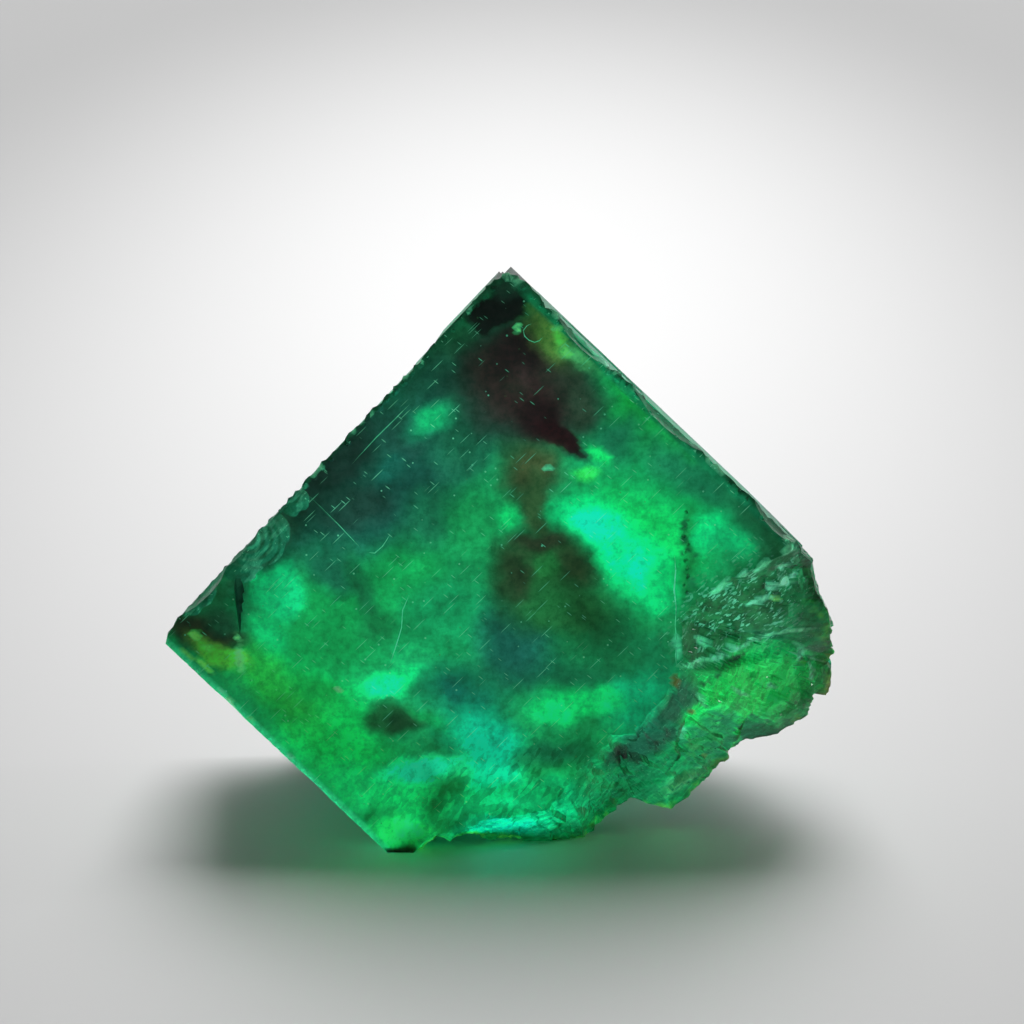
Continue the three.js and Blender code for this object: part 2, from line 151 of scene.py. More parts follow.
EDGES = [  # left0, left1, right0, right1, d0, d1, nicks: the runs of edge that are nicked
    (0.6, EDGE - 0.8, 0, 0, 0, 0, 40),
    (0, 0, 0.7, 17.6, 0, 0, 32),
    (EDGE, EDGE, 0.8, 13.0, 0, 0, 24),
    (0.6, EDGE - 0.8, 0, 0, DEPTH, DEPTH, 34),
    (0, 0, 0.7, 16.4, DEPTH, DEPTH, 28),
    (EDGE, EDGE, 0.8, 12.0, DEPTH, DEPTH, 20),
    (0, 0, 0, 0, 1.0, DEPTH - 1, 30),
    (EDGE, EDGE, 0, 0, 1.0, DEPTH - 1, 30),
    (0.7, 4.3, -0.25, -0.25, DEPTH - 0.4, DEPTH - 0.4, 7),
]
SHELLS = [  # left, half length, width, depth, ripple: shell-like chips on the upper left edge
    (16.6, 1.9, 1.35, 0.4, 0.06),
    (13.9, 0.7, 0.7, 0.25, 0.02),
    (20.0, 0.9, 0.5, 0.2, 0.02),
]
CRACK = [  # the open wedge near the left corner, as an outline on the front face
    (-11.78, 12.3), (-11.84, 11.9), (-11.78, 11.2), (-11.68, 10.5), (-11.58, 9.75),
    (-11.52, 10.4), (-11.54, 10.75), (-11.44, 10.8), (-11.5, 11.15), (-11.4, 11.25),
    (-11.47, 11.6), (-11.38, 11.7), (-11.44, 12.05), (-11.56, 12.3),
]

GROOVES = [  # path on the front face, half width
    ([(7.95, 8.3), (7.9, 8.9), (7.97, 9.5), (7.88, 10.2), (7.93, 11.0), (7.82, 11.8),
      (7.9, 12.7), (7.84, 13.4)], 0.04),
    ([(-4.9, 8.4), (-4.6, 9.3), (-4.35, 10.1), (-4.3, 10.9), (-4.0, 11.6)], 0.03),
    ([(-3.9, 20.2), (-4.6, 19.5), (-5.5, 18.6), (-6.6, 17.4)], 0.03),
    ([(5.0, 21.1), (6.3, 20.0), (7.4, 19.0)], 0.05),
    ([(1.48, 23.74), (1.22, 23.6), (1.08, 23.4), (1.13, 23.15), (1.33, 22.96), (1.58, 22.88),
      (1.8, 22.95), (1.96, 23.12)], 0.025),
    ([(-8.9, 16.4), (-8.0, 15.55), (-7.2, 14.75), (-6.5, 14.0), (-6.1, 13.6)], 0.022),
    ([(-5.9, 13.48), (-5.55, 13.45), (-5.2, 13.75), (-4.85, 14.3)], 0.03),
]


# ---- helpers ------------------------------------------------------------------------

def make_random(seed):
    """The same seeded draw that the CAD solid uses."""
    state = [seed & 0xFFFFFFFF]

    def draw():
        state[0] = (state[0] + 0x6D2B79F5) & 0xFFFFFFFF
        t = state[0]
        t = ((t ^ (t >> 15)) * (t | 1)) & 0xFFFFFFFF
        t ^= (t + (((t ^ (t >> 7)) * (t | 61)) & 0xFFFFFFFF)) & 0xFFFFFFFF
        return ((t ^ (t >> 14)) & 0xFFFFFFFF) / 4294967296

    return draw


def mix(a, b, t):
    return a + (b - a) * t


def smooth(low, high, value):
    t = np.clip((value - low) / (high - low), 0, 1)
    return t * t * (3 - 2 * t)


COS_LEAN, SIN_LEAN = math.cos(LEAN * RAD), math.sin(LEAN * RAD)
DOWN_LEFT = (-math.cos((45 + ROLL) * RAD), -math.sin((45 + ROLL) * RAD))
DOWN_RIGHT = (math.cos((45 - ROLL) * RAD), -math.sin((45 - ROLL) * RAD))


def find_shift():
    """How far the CAD solid was moved to centre it: its front plane and its upper left
    growth layer are where the crystal axes say, so both shifts can be read from it."""
    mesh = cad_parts[NODE].data
    co = np.array([v.co for v in mesh.vertices]) / MM
    depth = co[:, 1] * COS_LEAN - co[:, 2] * SIN_LEAN
    shift_y = -depth.min() / COS_LEAN
    y = co[:, 1] + shift_y
    up = y * SIN_LEAN + co[:, 2] * COS_LEAN
    along = (co[:, 0] - APEX[0]) * DOWN_RIGHT[0] + (up - APEX[1]) * DOWN_RIGHT[1]
    shift_x = (LAYERS[2][2] - along.min()) / DOWN_RIGHT[0]
    return shift_x, shift_y


SHIFT_X, SHIFT_Y = find_shift()


def stand(points):
    """Crystal axes (x, w, d) in millimetres to the row frame in metres."""
    p = np.asarray(points, float)
    x, w, d = p[..., 0], p[..., 1], p[..., 2]
    return np.stack([
        x - SHIFT_X,
        d * COS_LEAN + w * SIN_LEAN - SHIFT_Y,
        w * COS_LEAN - d * SIN_LEAN,
    ], axis=-1) * MM


def lookup(points):
    """An outline as a function from angle about HEART to distance and depth."""
    p = np.array([(q + (0.0,))[:3] for q in points])
    dx, dw, dd = p[:, 0] - HEART[0], p[:, 1] - HEART[1], p[:, 2]
    bearing = np.degrees(np.arctan2(dw, dx))

    def at(angle):
        angle = np.asarray(angle, float)
        i = np.clip(np.searchsorted(bearing, angle, side="left") - 1, 0, len(p) - 2)
        ux, uw = np.cos(angle * RAD), np.sin(angle * RAD)
        ex, ew = dx[i + 1] - dx[i], dw[i + 1] - dw[i]
        t = np.clip((uw * dx[i] - ux * dw[i]) / (ux * ew - uw * ex), 0, 1)
        return np.hypot(dx[i] + ex * t, dw[i] + ew * t), mix(dd[i], dd[i + 1], t)

    return at


look_rim, look_girth = lookup(RIM), lookup(GIRTH)
look_mid, look_foot, look_hind = lookup(MID), lookup(FOOT), lookup(HIND)


def break_radius(angle, d, wander=0.0):
    """Mean distance of the break from HEART for an angle and a depth. wander turns the
    ridges a little, in degrees."""
    angle, d = np.broadcast_arrays(np.asarray(angle, float), np.asarray(d, float))
    girth_r, girth_d = look_girth(angle)
    full = np.interp(angle + wander, [a for a, _ in FULLNESS], [f for _, f in FULLNESS])
    front = mix(look_rim(angle)[0], girth_r, np.clip(d / girth_d, 0, 1) ** full)
    mid, foot, hind = look_mid(angle)[0], look_foot(angle)[0], look_hind(angle)[0]
    to_mid = mix(girth_r, mid, np.clip((d - girth_d) / (MID_D - girth_d), 0, 1))
    to_foot = mix(mid, foot, (d - MID_D) / (FOOT_D - MID_D))
    to_hind = mix(foot, hind, np.clip((d - FOOT_D) / (DEPTH - FOOT_D), 0, 1))
    return np.where(d <= girth_d, front,
                    np.where(d <= MID_D, to_mid, np.where(d <= FOOT_D, to_foot, to_hind)))


def break_point(angle, d, r):
    angle = np.asarray(angle, float)
    return np.stack(np.broadcast_arrays(
        HEART[0] + r * np.cos(angle * RAD), HEART[1] + r * np.sin(angle * RAD), d), -1)


def turned(vectors):
    c, s = math.cos(ROLL * RAD), math.sin(ROLL * RAD)
    v = np.array(vectors, float)
    out = np.stack([c * v[:, 0] - s * v[:, 1], s * v[:, 0] + c * v[:, 1], v[:, 2]], -1)
    return out / np.linalg.norm(out, axis=1, keepdims=True)


OUT, DEEP, HALF = math.sqrt(2 / 3), math.sqrt(1 / 3), math.sqrt(0.5)
CLEAVAGE = turned([
    (0, -OUT, -DEEP), (0, -OUT, DEEP), (OUT, 0, -DEEP), (OUT, 0, DEEP),
    (HALF, -HALF, 0), (0.35, -0.9, 0.25),
])


def cad_patches():
    """The flat cleavage patches of the CAD solid: centres, normals and lifts."""
    draw = make_random(SEED)
    centres, normals, lifts = [], [], []
    for _ in range(CLEAVE_COUNT):
        angle = mix(FIRST_ANGLE, LAST_ANGLE, draw())
        d = mix(0, DEPTH, draw())
        here = break_point(angle, d, break_radius(angle, d))
        along = break_point(angle + 2, d, break_radius(angle + 2, d)) - here
        deeper = break_point(angle, d + 0.4, break_radius(angle, d + 0.4)) - here
        facing = np.cross(along, deeper)
        facing /= np.linalg.norm(facing)
        if facing[0] * (here[0] - HEART[0]) + facing[1] * (here[1] - HEART[1]) < 0:
            facing = -facing
        score = [float(n @ facing) + draw() * 0.3 for n in CLEAVAGE]
        centres.append(here)
        normals.append(CLEAVAGE[int(np.argmax(score))])
        lifts.append((draw() - 0.5) * 0.3)
    return np.array(centres), np.array(normals), np.array(lifts)


def patch_shift(points, outward, patches, limit, depth_weight=0.8, blend=1.35):
    """How far points move along outward to lie on their nearest patch. Near the border
    of two patches the deeper one wins, which leaves clean edges."""
    centres, normals, lifts = patches
    weight = np.array([1, 1, depth_weight])
    tree = KDTree(len(centres))
    for i, c in enumerate(centres * weight):
        tree.insert(c, i)
    tree.balance()
    near = np.empty((len(points), 2), int)
    far = np.empty((len(points), 2))
    for i, p in enumerate(points * weight):
        (_, a, da), (_, b, db) = tree.find_n(p, 2)
        near[i] = a, b
        far[i] = da, db
    shifts = []
    for k in range(2):
        n = normals[near[:, k]]
        slope = np.einsum("ij,ij->i", outward, n)
        gap = np.einsum("ij,ij->i", centres[near[:, k]] - points, n)
        safe = np.where(slope < 0.3, 1, slope)
        move = np.clip(gap / safe + lifts[near[:, k]], -limit, limit)
        shifts.append(np.where(slope < 0.3, 0, move))
    close = far[:, 1] < far[:, 0] * blend
    return np.where(close, np.minimum(shifts[0], shifts[1]), shifts[0])


def grid_normals(grid):
    """Unit normals of a grid of points, turned away from HEART."""
    along = np.gradient(grid, axis=0)
    deeper = np.gradient(grid, axis=1)
    n = np.cross(along, deeper)
    n /= np.maximum(np.linalg.norm(n, axis=2, keepdims=True), 1e-9)
    out = grid - np.array([HEART[0], HEART[1], 0])
    flip = np.sign(n[..., 0] * out[..., 0] + n[..., 1] * out[..., 1])
    return n * flip[..., None]


def fine_patches(grid, normals, count, rng, twist):
    """Small cleavage patches centred on points of the surface itself."""
    i = rng.integers(2, grid.shape[0] - 2, count)
    j = rng.integers(1, grid.shape[1] - 1, count)
    centres = grid[i, j]
    all_faces = turned([(sx * a, sy * b, sz * DEEP) for sx, sy, sz, a, b in
                        [(sx, sy, sz, OUT * h, OUT * (1 - h)) for sx in (-1, 1)
                         for sy in (-1, 1) for sz in (-1, 1) for h in (0, 1)]])
    score = normals[i, j] @ all_faces.T + rng.random((count, len(all_faces))) * twist
    return centres, all_faces[np.argmax(score, axis=1)], (rng.random(count) - 0.5)


# ---- meshes -------------------------------------------------------------------------

def add_object(name, data):
    obj = bpy.data.objects.new(name, data)
    bpy.context.scene.collection.objects.link(obj)
    return obj


def add_mesh(name, bm):
    mesh = bpy.data.meshes.new(name)
    bm.to_mesh(mesh)
    bm.free()
    return add_object(name, mesh)


def mesh_from(name, points, faces):
    mesh = bpy.data.meshes.new(name)
    mesh.from_pydata([tuple(p) for p in stand(points)], [], faces)
    mesh.validate()
    bm = bmesh.new()
    bm.from_mesh(mesh)
    if bm.calc_volume(signed=True) < 0:
        bmesh.ops.reverse_faces(bm, faces=bm.faces)
    bm.to_mesh(mesh)
    bm.free()
    return add_object(name, mesh)


def on_face(left, right):
    """Point of the front face from distances down its two upper edges."""
    return (APEX[0] + DOWN_LEFT[0] * left + DOWN_RIGHT[0] * right,
            APEX[1] + DOWN_LEFT[1] * left + DOWN_RIGHT[1] * right)


def loft(rings):
    """Points and faces of a closed bar through rings of points, all of one length."""
    n = len(rings[0])
    end = (len(rings) - 1) * n
    faces = [tuple(range(n)), tuple(range(end + n - 1, end - 1, -1))]
    for base in range(0, end, n):
        faces += [(base + i, base + n + i, base + n + (i + 1) % n, base + (i + 1) % n)
                  for i in range(n)]
    return [p for ring in rings for p in ring], faces


def block(name, outline, d0, d1):
    return mesh_from(name, *loft([[(x, w, d) for x, w in outline] for d in (d0, d1)]))


def grid_block(name, lefts, rights, depths, back_cells=True):
    """A box cut into small cells, so that tints can be painted on it. With back_cells
    off its back is one face."""
    size = len(lefts), len(rights), len(depths)
    points, index = [], {}

    def at(i, j, k):
        if (i, j, k) not in index:
            index[i, j, k] = len(points)
            points.append((*on_face(lefts[i], rights[j]), depths[k]))
        return index[i, j, k]

    faces = []
    for axis in range(3):
        p, q = (axis + 1) % 3, (axis + 2) % 3
        for far in (False, True):
            if axis == 2 and far and not back_cells:
                continue
            fixed = size[axis] - 1 if far else 0
            for a in range(size[p] - 1):
                for b in range(size[q] - 1):
                    ring = [(a, b), (a + 1, b), (a + 1, b + 1), (a, b + 1)]
                    corners = []
                    for c, e in ring if far else ring[::-1]:
                        where = [0, 0, 0]
                        where[axis], where[p], where[q] = fixed, c, e
                        corners.append(at(*where))
                    faces.append(tuple(corners))
    if not back_cells:
        m, n, k = size[0] - 1, size[1] - 1, size[2] - 1
        rim = [(i, 0) for i in range(m)] + [(m, j) for j in range(n)]
        rim += [(i, n) for i in range(m, 0, -1)] + [(0, j) for j in range(n, 0, -1)]
        faces.append(tuple(at(i, j, k) for i, j in rim))
    return mesh_from(name, points, faces)


def steps(low, high, step):
    return np.linspace(low, high, max(2, round((high - low) / step) + 1))


def scoop_points(centre, radius, stretch, axis, detail, rng=None, rough=0.0):
    """Points and faces of a rounded cutter: an icosphere, stretched along axis."""
    bm = bmesh.new()
    bmesh.ops.create_icosphere(bm, subdivisions=detail + 1, radius=radius)
    turn = Vector((1, 0, 0)).rotation_difference(Vector(axis).normalized())
    tilt = Quaternion((1, 0, 0), 0.3 if rng is None else rng.random() * 6.3)
    points = []
    for v in bm.verts:
        p = v.co.copy()
        if rng is not None:
            p *= 1 + (rng.random() - 0.5) * rough
        p.x *= stretch
        p = turn @ (tilt @ p)
        points.append((p.x + centre[0], p.y + centre[1], p.z + centre[2]))
    faces = [tuple(v.index for v in f.verts) for f in bm.faces]
    bm.free()
    return points, faces


def join_parts(name, parts):
    points, faces = [], []
    for part_points, part_faces in parts:
        base = len(points)
        points += part_points
        faces += [tuple(i + base for i in f) for f in part_faces]
    return mesh_from(name, points, faces)


def boolean(target, tool, operation):
    mod = target.modifiers.new("cut", "BOOLEAN")
    mod.object = tool
    mod.operation = operation
    mod.solver = "MANIFOLD"
    dg = bpy.context.evaluated_depsgraph_get()
    result = bpy.data.meshes.new_from_object(target.evaluated_get(dg))
    target.modifiers.remove(mod)
    old = target.data
    target.data = result
    bpy.data.meshes.remove(old)
    bpy.data.objects.remove(tool)


def coarse(grid):
    """How rough the break is, 0 smooth to 1 splintered, at points of its surface."""
    x, w, d = grid[..., 0], grid[..., 1], grid[..., 2]
    amount = 0.35 + 0.25 * np.sin(x * 0.9 + 1.0) * np.sin(w * 0.8 + d * 0.5)
    for (cx, cw, cd), (rx, rw, rd), level in ROUGHER:
        far = np.sqrt(((x - cx) / rx) ** 2 + ((w - cw) / rw) ** 2 + ((d - cd) / rd) ** 2)
        amount = mix(amount, level, 1 - smooth(0.6, 1.4, far))
    return amount


def break_grid():
    """The fine break surface as a grid of points, columns by rows."""
    marks = np.degrees([math.atan2(g[1] - HEART[1], g[0] - HEART[0]) for g in GIRTH])
    even = np.linspace(FIRST_ANGLE, LAST_ANGLE, COLUMNS)
    inside = marks[(marks > FIRST_ANGLE) & (marks < LAST_ANGLE)]
    angles = even.copy()
    for m in inside:  # the nearest column moves onto each given corner
        angles[np.argmin(np.abs(even - m))] = m
    girth_r, girth_d = look_girth(angles)
    t = np.linspace(0, 1, FRONT_ROWS + 1)[:-1]
    front = girth_d[:, None] * t[None, :]
    u = np.linspace(0, 1, BACK_ROWS + 1)
    back = mix(girth_d[:, None], DEPTH, u[None, :])
    depth = np.concatenate([front, back], axis=1)
    angle = np.repeat(angles[:, None], depth.shape[1], axis=1)
    wander = 1.3 * np.sin(depth * 2.1 + 0.6) + 0.7 * np.sin(depth * 5.3 + angle * 0.2)
    radius = break_radius(angle, depth, wander)
    outward = np.stack([np.cos(angle * RAD), np.sin(angle * RAD), 0 * angle], -1)

    flat_out = outward.reshape(-1, 3)
    base = break_point(angle, depth, radius).reshape(-1, 3)
    shift = patch_shift(base, flat_out, cad_patches(), CLEAVE_LIMIT).reshape(angle.shape)
    keep = smooth(0, 1.6, np.abs(depth - girth_d[:, None])) * smooth(0, 1.0, depth)
    calm = mix(0.22, 1, smooth(0.8, 1.5, depth / girth_d[:, None]))
    moved = radius + shift * mix(0.12, 1, keep) * calm
    widest = np.repeat(girth_r[:, None], depth.shape[1], axis=1)
    behind = depth > girth_d[:, None]
    radius = np.where(behind, np.minimum(moved, np.maximum(radius, widest)), moved)

    t = depth / girth_d[:, None]
    over = angle - mix(RIDGE[0], RIDGE[1], t)
    sunk = smooth(-0.5, 0.7, over) * (1 - smooth(9, 20, over)) * smooth(0, 0.12, t)
    radius = radius - 0.45 * sunk * (1 - smooth(0.7, 1.0, t))

    rng = np.random.default_rng(SEED)
    for count, limit, lift, twist in ((900, 0.26, 0.14, 0.5), (6500, 0.085, 0.05, 0.7)):
        grid = break_point(angle, depth, radius)
        patches = fine_patches(grid, grid_normals(grid), count, rng, twist)
        patches = (patches[0], patches[1], patches[2] * lift)
        step = patch_shift(grid.reshape(-1, 3), flat_out, patches, limit, 1.0, 1.2)
        radius = radius + step.reshape(radius.shape) * coarse(grid)
    return angle, depth, radius


def broken_away():
    """Everything that broke off, as one closed volume."""
    angle, depth, radius = break_grid()
    inner = break_point(angle, depth, radius)
    first, last = inner[:, :1].copy(), inner[:, -1:].copy()
    first[..., 2] = -3
    last[..., 2] = DEPTH + 3
    inner = np.concatenate([first, inner, last], axis=1)
    wide = np.concatenate([angle[:, :1], angle, angle[:, -1:]], axis=1)
    outer = break_point(wide, inner[..., 2], CUT_REACH)
    cols, rows = inner.shape[:2]
    points = np.concatenate([inner.reshape(-1, 3), outer.reshape(-1, 3)])

    def at(layer, i, j):
        return layer * cols * rows + i * rows + j

    faces = []
    for i in range(cols - 1):
        for j in range(rows - 1):
            faces.append((at(0, i, j), at(0, i + 1, j), at(0, i + 1, j + 1), at(0, i, j + 1)))
            faces.append((at(1, i, j), at(1, i, j + 1), at(1, i + 1, j + 1), at(1, i + 1, j)))
        faces.append((at(0, i, 0), at(1, i, 0), at(1, i + 1, 0), at(0, i + 1, 0)))
        k = rows - 1
        faces.append((at(0, i, k), at(0, i + 1, k), at(1, i + 1, k), at(1, i, k)))
    for j in range(rows - 1):
        faces.append((at(0, 0, j), at(0, 0, j + 1), at(1, 0, j + 1), at(1, 0, j)))
        k = cols - 1
        faces.append((at(0, k, j), at(1, k, j), at(1, k, j + 1), at(0, k, j + 1)))
    return mesh_from("broken_away", points, faces)


def nicks(rng, left0, left1, right0, right1, d0, d1, count):
    """Small angular bites out of one run of edge, none touching the next."""
    ends = np.array([(*on_face(left0, right0), d0), (*on_face(left1, right1), d1)])
    length = np.linalg.norm(ends[1] - ends[0])
    axis = (ends[1] - ends[0]) / length
    outward = np.zeros(3)  # away from the block, square to the edge
    if left0 == left1 and left0 <= 0:
        outward[:2] -= DOWN_LEFT
    if left0 == left1 and left0 >= EDGE:
        outward[:2] += DOWN_LEFT
    if right0 == right1:
        outward[:2] -= DOWN_RIGHT
    if d0 == d1:
        outward[2] = -1 if d0 == 0 else 1
    parts = []
    slot = length / count
    for i in range(count):
        if rng.random() < 0.25:
            continue
        size = slot * mix(0.2, 0.46, rng.random() ** 1.4)
        stretch = mix(0.8, 1.25, rng.random())
        at = (i + 0.5 + (rng.random() - 0.5) * 0.15) * slot
        lift = size * mix(0.0, 0.4, rng.random())
        centre = ends[0] + axis * at + outward * lift
        parts.append(scoop_points(centre, size, stretch, axis, 0, rng, 0.25))
    return parts


def striations(rng):
    """Fine growth steps across the upper right face, before and behind its thick layer:
    thin wedges, highest in front."""
    parts = []
    d = 0.25
    while d < DEPTH - 1.2:
        run = mix(0.5, 1.7, rng.random())
        rise = mix(0.02, 0.06, rng.random())
        r0, r1 = mix(0.2, 5.0, rng.random()), mix(12.0, 18.5, rng.random())
        bow, turn = mix(-0.12, 0.12, rng.random()), 6.3 * rng.random()
        rings = []
        for r in steps(r0, r1, 0.5):
            high = rise + 0.02 * float(smooth(0, 2.5, r - r0) * smooth(0, 2.5, r1 - r)) - 0.02
            high += 0.006 * math.sin(2.3 * r + turn)
            q = d + bow * math.sin(0.3 * r + turn)
            profile = [(0.3, q), (-high, q + 0.02), (0.04, q + run), (0.3, q + run)]
            rings.append([(*on_face(left, r), q) for left, q in profile])
        parts.append(loft(rings))
        d += run + 0.28
        if 3.6 < d < 14.5:
            d = 14.5
    return parts


def lip(rng, on_left, start, stop, low, high):
    """A ragged raised lip along the front of one upper face, sloping off to the back."""
    rings = []
    for s in steps(start, stop, 0.22):
        rise = mix(low, high, rng.random()) * (0.4 if rng.random() < 0.12 else 1)
        rise *= float(smooth(-0.1, 0.6, s - start) * smooth(-0.1, 0.6, stop - s))
        run = mix(1.2, 2.0, rng.random())
        rings.append([(*(on_face(s, out) if on_left else on_face(out, s)), d) for out, d in
                      ((0.3, 0.03), (-rise, 0.06), (0.03, run), (0.3, run))])
    return mesh_from("lip", *loft(rings))


def groove(rng, path, wide):
    """A fine open crack in the front face along a path, as the outline of a cutter."""
    sides = []
    for side in (-1, 1):
        sides.append([])
        for (x0, w0), (x, w), (x1, w1) in zip(path, path[1:], path[2:]):
            out = side * wide * mix(0.4, 1.0, rng.random()) / math.hypot(x1 - x0, w1 - w0)
            sides[-1].append((x + (w1 - w0) * out, w - (x1 - x0) * out))
    return [path[0]] + sides[0] + [path[-1]] + sides[1][::-1]


def shell_chip(edge_at, along, inward, length, width, deep, waves):
    """A shallow shell-like chip out of the front face, as a cutter with a rippled floor.
    edge_at is its middle on the edge (x, w); along and inward are its directions."""
    columns, rows = 56, 40
    u = np.linspace(-1, 1, columns)[:, None]
    v = np.linspace(-0.5, 1, rows)[None, :]
    x = edge_at[0] + along[0] * u * length + inward[0] * v * width
    w = edge_at[1] + along[1] * u * length + inward[1] * v * width
    bend = 0.12 * np.sin(3.1 * u + 1.0) + 0.08 * np.sin(7.3 * u)
    floor = deep * (1 - np.abs(u) ** 2.2 - np.maximum(v + bend, 0) ** 2)
    ring = np.hypot(u * length * 1.2, (v + 0.3) * width)
    floor = floor + waves * np.sin(ring * 16 + 1.5 * np.sin(3 * u)) * (1 - np.abs(u))
    floor = np.where(v < -0.1, deep, floor)
    top = np.stack([x, w, np.full_like(x, -1.5)], -1).reshape(-1, 3)
    low = np.stack([x, w, np.maximum(floor, -1.2)], -1).reshape(-1, 3)
    points = [tuple(p) for p in np.concatenate([top, low])]
    size = columns * rows
    faces = []
    for i in range(columns - 1):
        for j in range(rows - 1):
            a, b = i * rows + j, (i + 1) * rows + j
            faces += [(a, b, b + 1, a + 1), (size + a, size + a + 1, size + b + 1, size + b)]
    rim = [i * rows for i in range(columns)]
    rim += [(columns - 1) * rows + j for j in range(1, rows)]
    rim += [i * rows + rows - 1 for i in range(columns - 2, -1, -1)]
    rim += [j for j in range(rows - 2, 0, -1)]
    for a, b in zip(rim, rim[1:] + rim[:1]):
        faces.append((b, a, size + a, size + b))
    return points, faces


def edge_axis(left):
    return (*DOWN_RIGHT, 0) if left < 0 or left > EDGE else (*DOWN_LEFT, 0)


def build_crystal():
    body = grid_block("crystal", steps(0, EDGE, CELL), steps(0, BREADTH, CELL), DEPTHS, False)
    corner = [on_face(EDGE - 2 * BLUNT, -0.6 * BLUNT), on_face(EDGE + BLUNT, 1.2 * BLUNT),
              on_face(EDGE + BLUNT, -0.6 * BLUNT)]
    boolean(body, block("corner", corner, -1, DEPTH + 1), "DIFFERENCE")
    for l0, l1, r0, r1, d0, d1 in LAYERS:
        layer = grid_block("layer", steps(l0, l1, 1), steps(r0, r1, 1), steps(d0, d1, 1))
        boolean(body, layer, "UNION")
    rng = np.random.default_rng(SEED + 1)
    for on_left, stop, low, high in ((False, 19.0, 0.2, 0.34), (True, EDGE - 0.8, 0.14, 0.28)):
        boolean(body, lip(rng, on_left, 1.6, stop, low, high), "UNION")
    boolean(body, broken_away(), "DIFFERENCE")
    for left, right, d, radius, stretch in CHIPS:
        x, w = on_face(left, right)
        part = scoop_points((x, w, d), radius, stretch, edge_axis(left), 2)
        boolean(body, mesh_from("chip", *part), "DIFFERENCE")
    for x, w, d, radius, stretch in DISHES:
        part = scoop_points((x, w, d), radius, stretch, (0.9, 0.5, 0.2), 3)
        boolean(body, mesh_from("dish", *part), "DIFFERENCE")
    for on_left in (False, True):  # the chipped topmost corner has lips of its own
        boolean(body, lip(rng, on_left, -0.1, 2.4, 0.22, 0.36), "UNION")
    for run in EDGES:
        boolean(body, join_parts("nicks", nicks(rng, *run)), "DIFFERENCE")
    boolean(body, join_parts("striations", striations(rng)), "UNION")
    inward = (DOWN_RIGHT[0], DOWN_RIGHT[1])
    for left, length, width, deep, waves in SHELLS:
        part = shell_chip(on_face(left, 0), DOWN_LEFT, inward, length, width, deep, waves)
        boolean(body, join_parts("shell", [part]), "DIFFERENCE")
    boolean(body, block("crack", CRACK, -0.5, 1.1), "DIFFERENCE")
    for path, wide in GROOVES:
        boolean(body, block("groove", groove(rng, path, wide), -0.2, 0.14), "DIFFERENCE")
    pits = []
    for k in range(11):
        x = 8.35 + 0.25 * math.sin(k * 1.9) * rng.random()
        at = (x, 15.3 - 0.36 * k, -0.02)
        pits.append(scoop_points(at, mix(0.06, 0.13, rng.random()), 1.2, (0, 1, 0), 0, rng, 0.3))
    boolean(body, join_parts("pits", pits), "DIFFERENCE")
    bm = bmesh.new()  # all below the ground is cut off flat
    bmesh.ops.create_cube(bm, size=1, matrix=Matrix.Translation((0, 0, -0.01))
                          @ Matrix.Diagonal((0.09, 0.09, 0.02, 1)))
    boolean(body, add_mesh("ground", bm), "DIFFERENCE")
    return body


crystal = build_crystal()


# ---- material -----------------------------------------------------------------------

class Nodes:
    """Short ways to add nodes to one tree."""

    def __init__(self, tree):
        self.tree = tree

    def node(self, kind, inputs=(), **props):
        """A new node. inputs gives a value or a link for each input by name or number."""
        made = self.tree.nodes.new("ShaderNode" + kind)
        for key, value in props.items():
            setattr(made, key, value)
        for key, value in dict(inputs).items():
            if value is not None:
                self.put(made.inputs[key], value)
        return made

    def put(self, socket, value):
        if isinstance(value, bpy.types.NodeSocket):
            self.tree.links.new(value, socket)
        else:
            socket.default_value = value

    def math(self, op, a, b=None, c=None):
        return self.node("Math", {0: a, 1: b, 2: c}, operation=op).outputs[0]

    def vec(self, op, a, b=None, scale=None):
        made = self.node("VectorMath", {0: a, 1: b, "Scale": scale}, operation=op)
        return made.outputs["Value" if op in ("LENGTH", "DOT_PRODUCT") else "Vector"]

    def ramp(self, value, low, high, to_low=0.0, to_high=1.0):
        return self.node("MapRange", {
            "Value": value, "From Min": low, "From Max": high, "To Min": to_low,
            "To Max": to_high}, interpolation_type="SMOOTHSTEP").outputs["Result"]

    def mix(self, fac, a, b):
        a, b = [(*c, 1) if isinstance(c, tuple) else c for c in (a, b)]
        return self.node("Mix", {0: fac, 6: a, 7: b}, data_type="RGBA").outputs[2]

    def noise(self, vector, scale, detail, rough):
        return self.node("TexNoise", {"Vector": vector, "Scale": scale, "Detail": detail,
                                      "Roughness": rough}).outputs["Fac"]

    def split(self, vector):
        return self.node("SeparateXYZ", {0: vector}).outputs

    def painted(self, name):
        return self.node("Attribute", attribute_name=name).outputs["Vector"]


class Shade(Nodes):
    """The node tree of one new material."""

    def __init__(self, name):
        self.mat = bpy.data.materials.new(name)
        self.mat.use_nodes = True
        super().__init__(self.mat.node_tree)
        self.bsdf = self.tree.nodes["Principled BSDF"]
        self.out = self.tree.nodes["Material Output"]


def crystal_axes(sh):
    """Object coordinates turned back into crystal axes x, d, w, in millimetres."""
    return sh.node("Mapping", {
        "Vector": sh.node("TexCoord").outputs["Object"],
        "Location": (SHIFT_X, SHIFT_Y * COS_LEAN, SHIFT_Y * SIN_LEAN),
        "Rotation": (LEAN * RAD, 0, 0), "Scale": (1 / MM,) * 3}, vector_type="POINT").outputs[0]


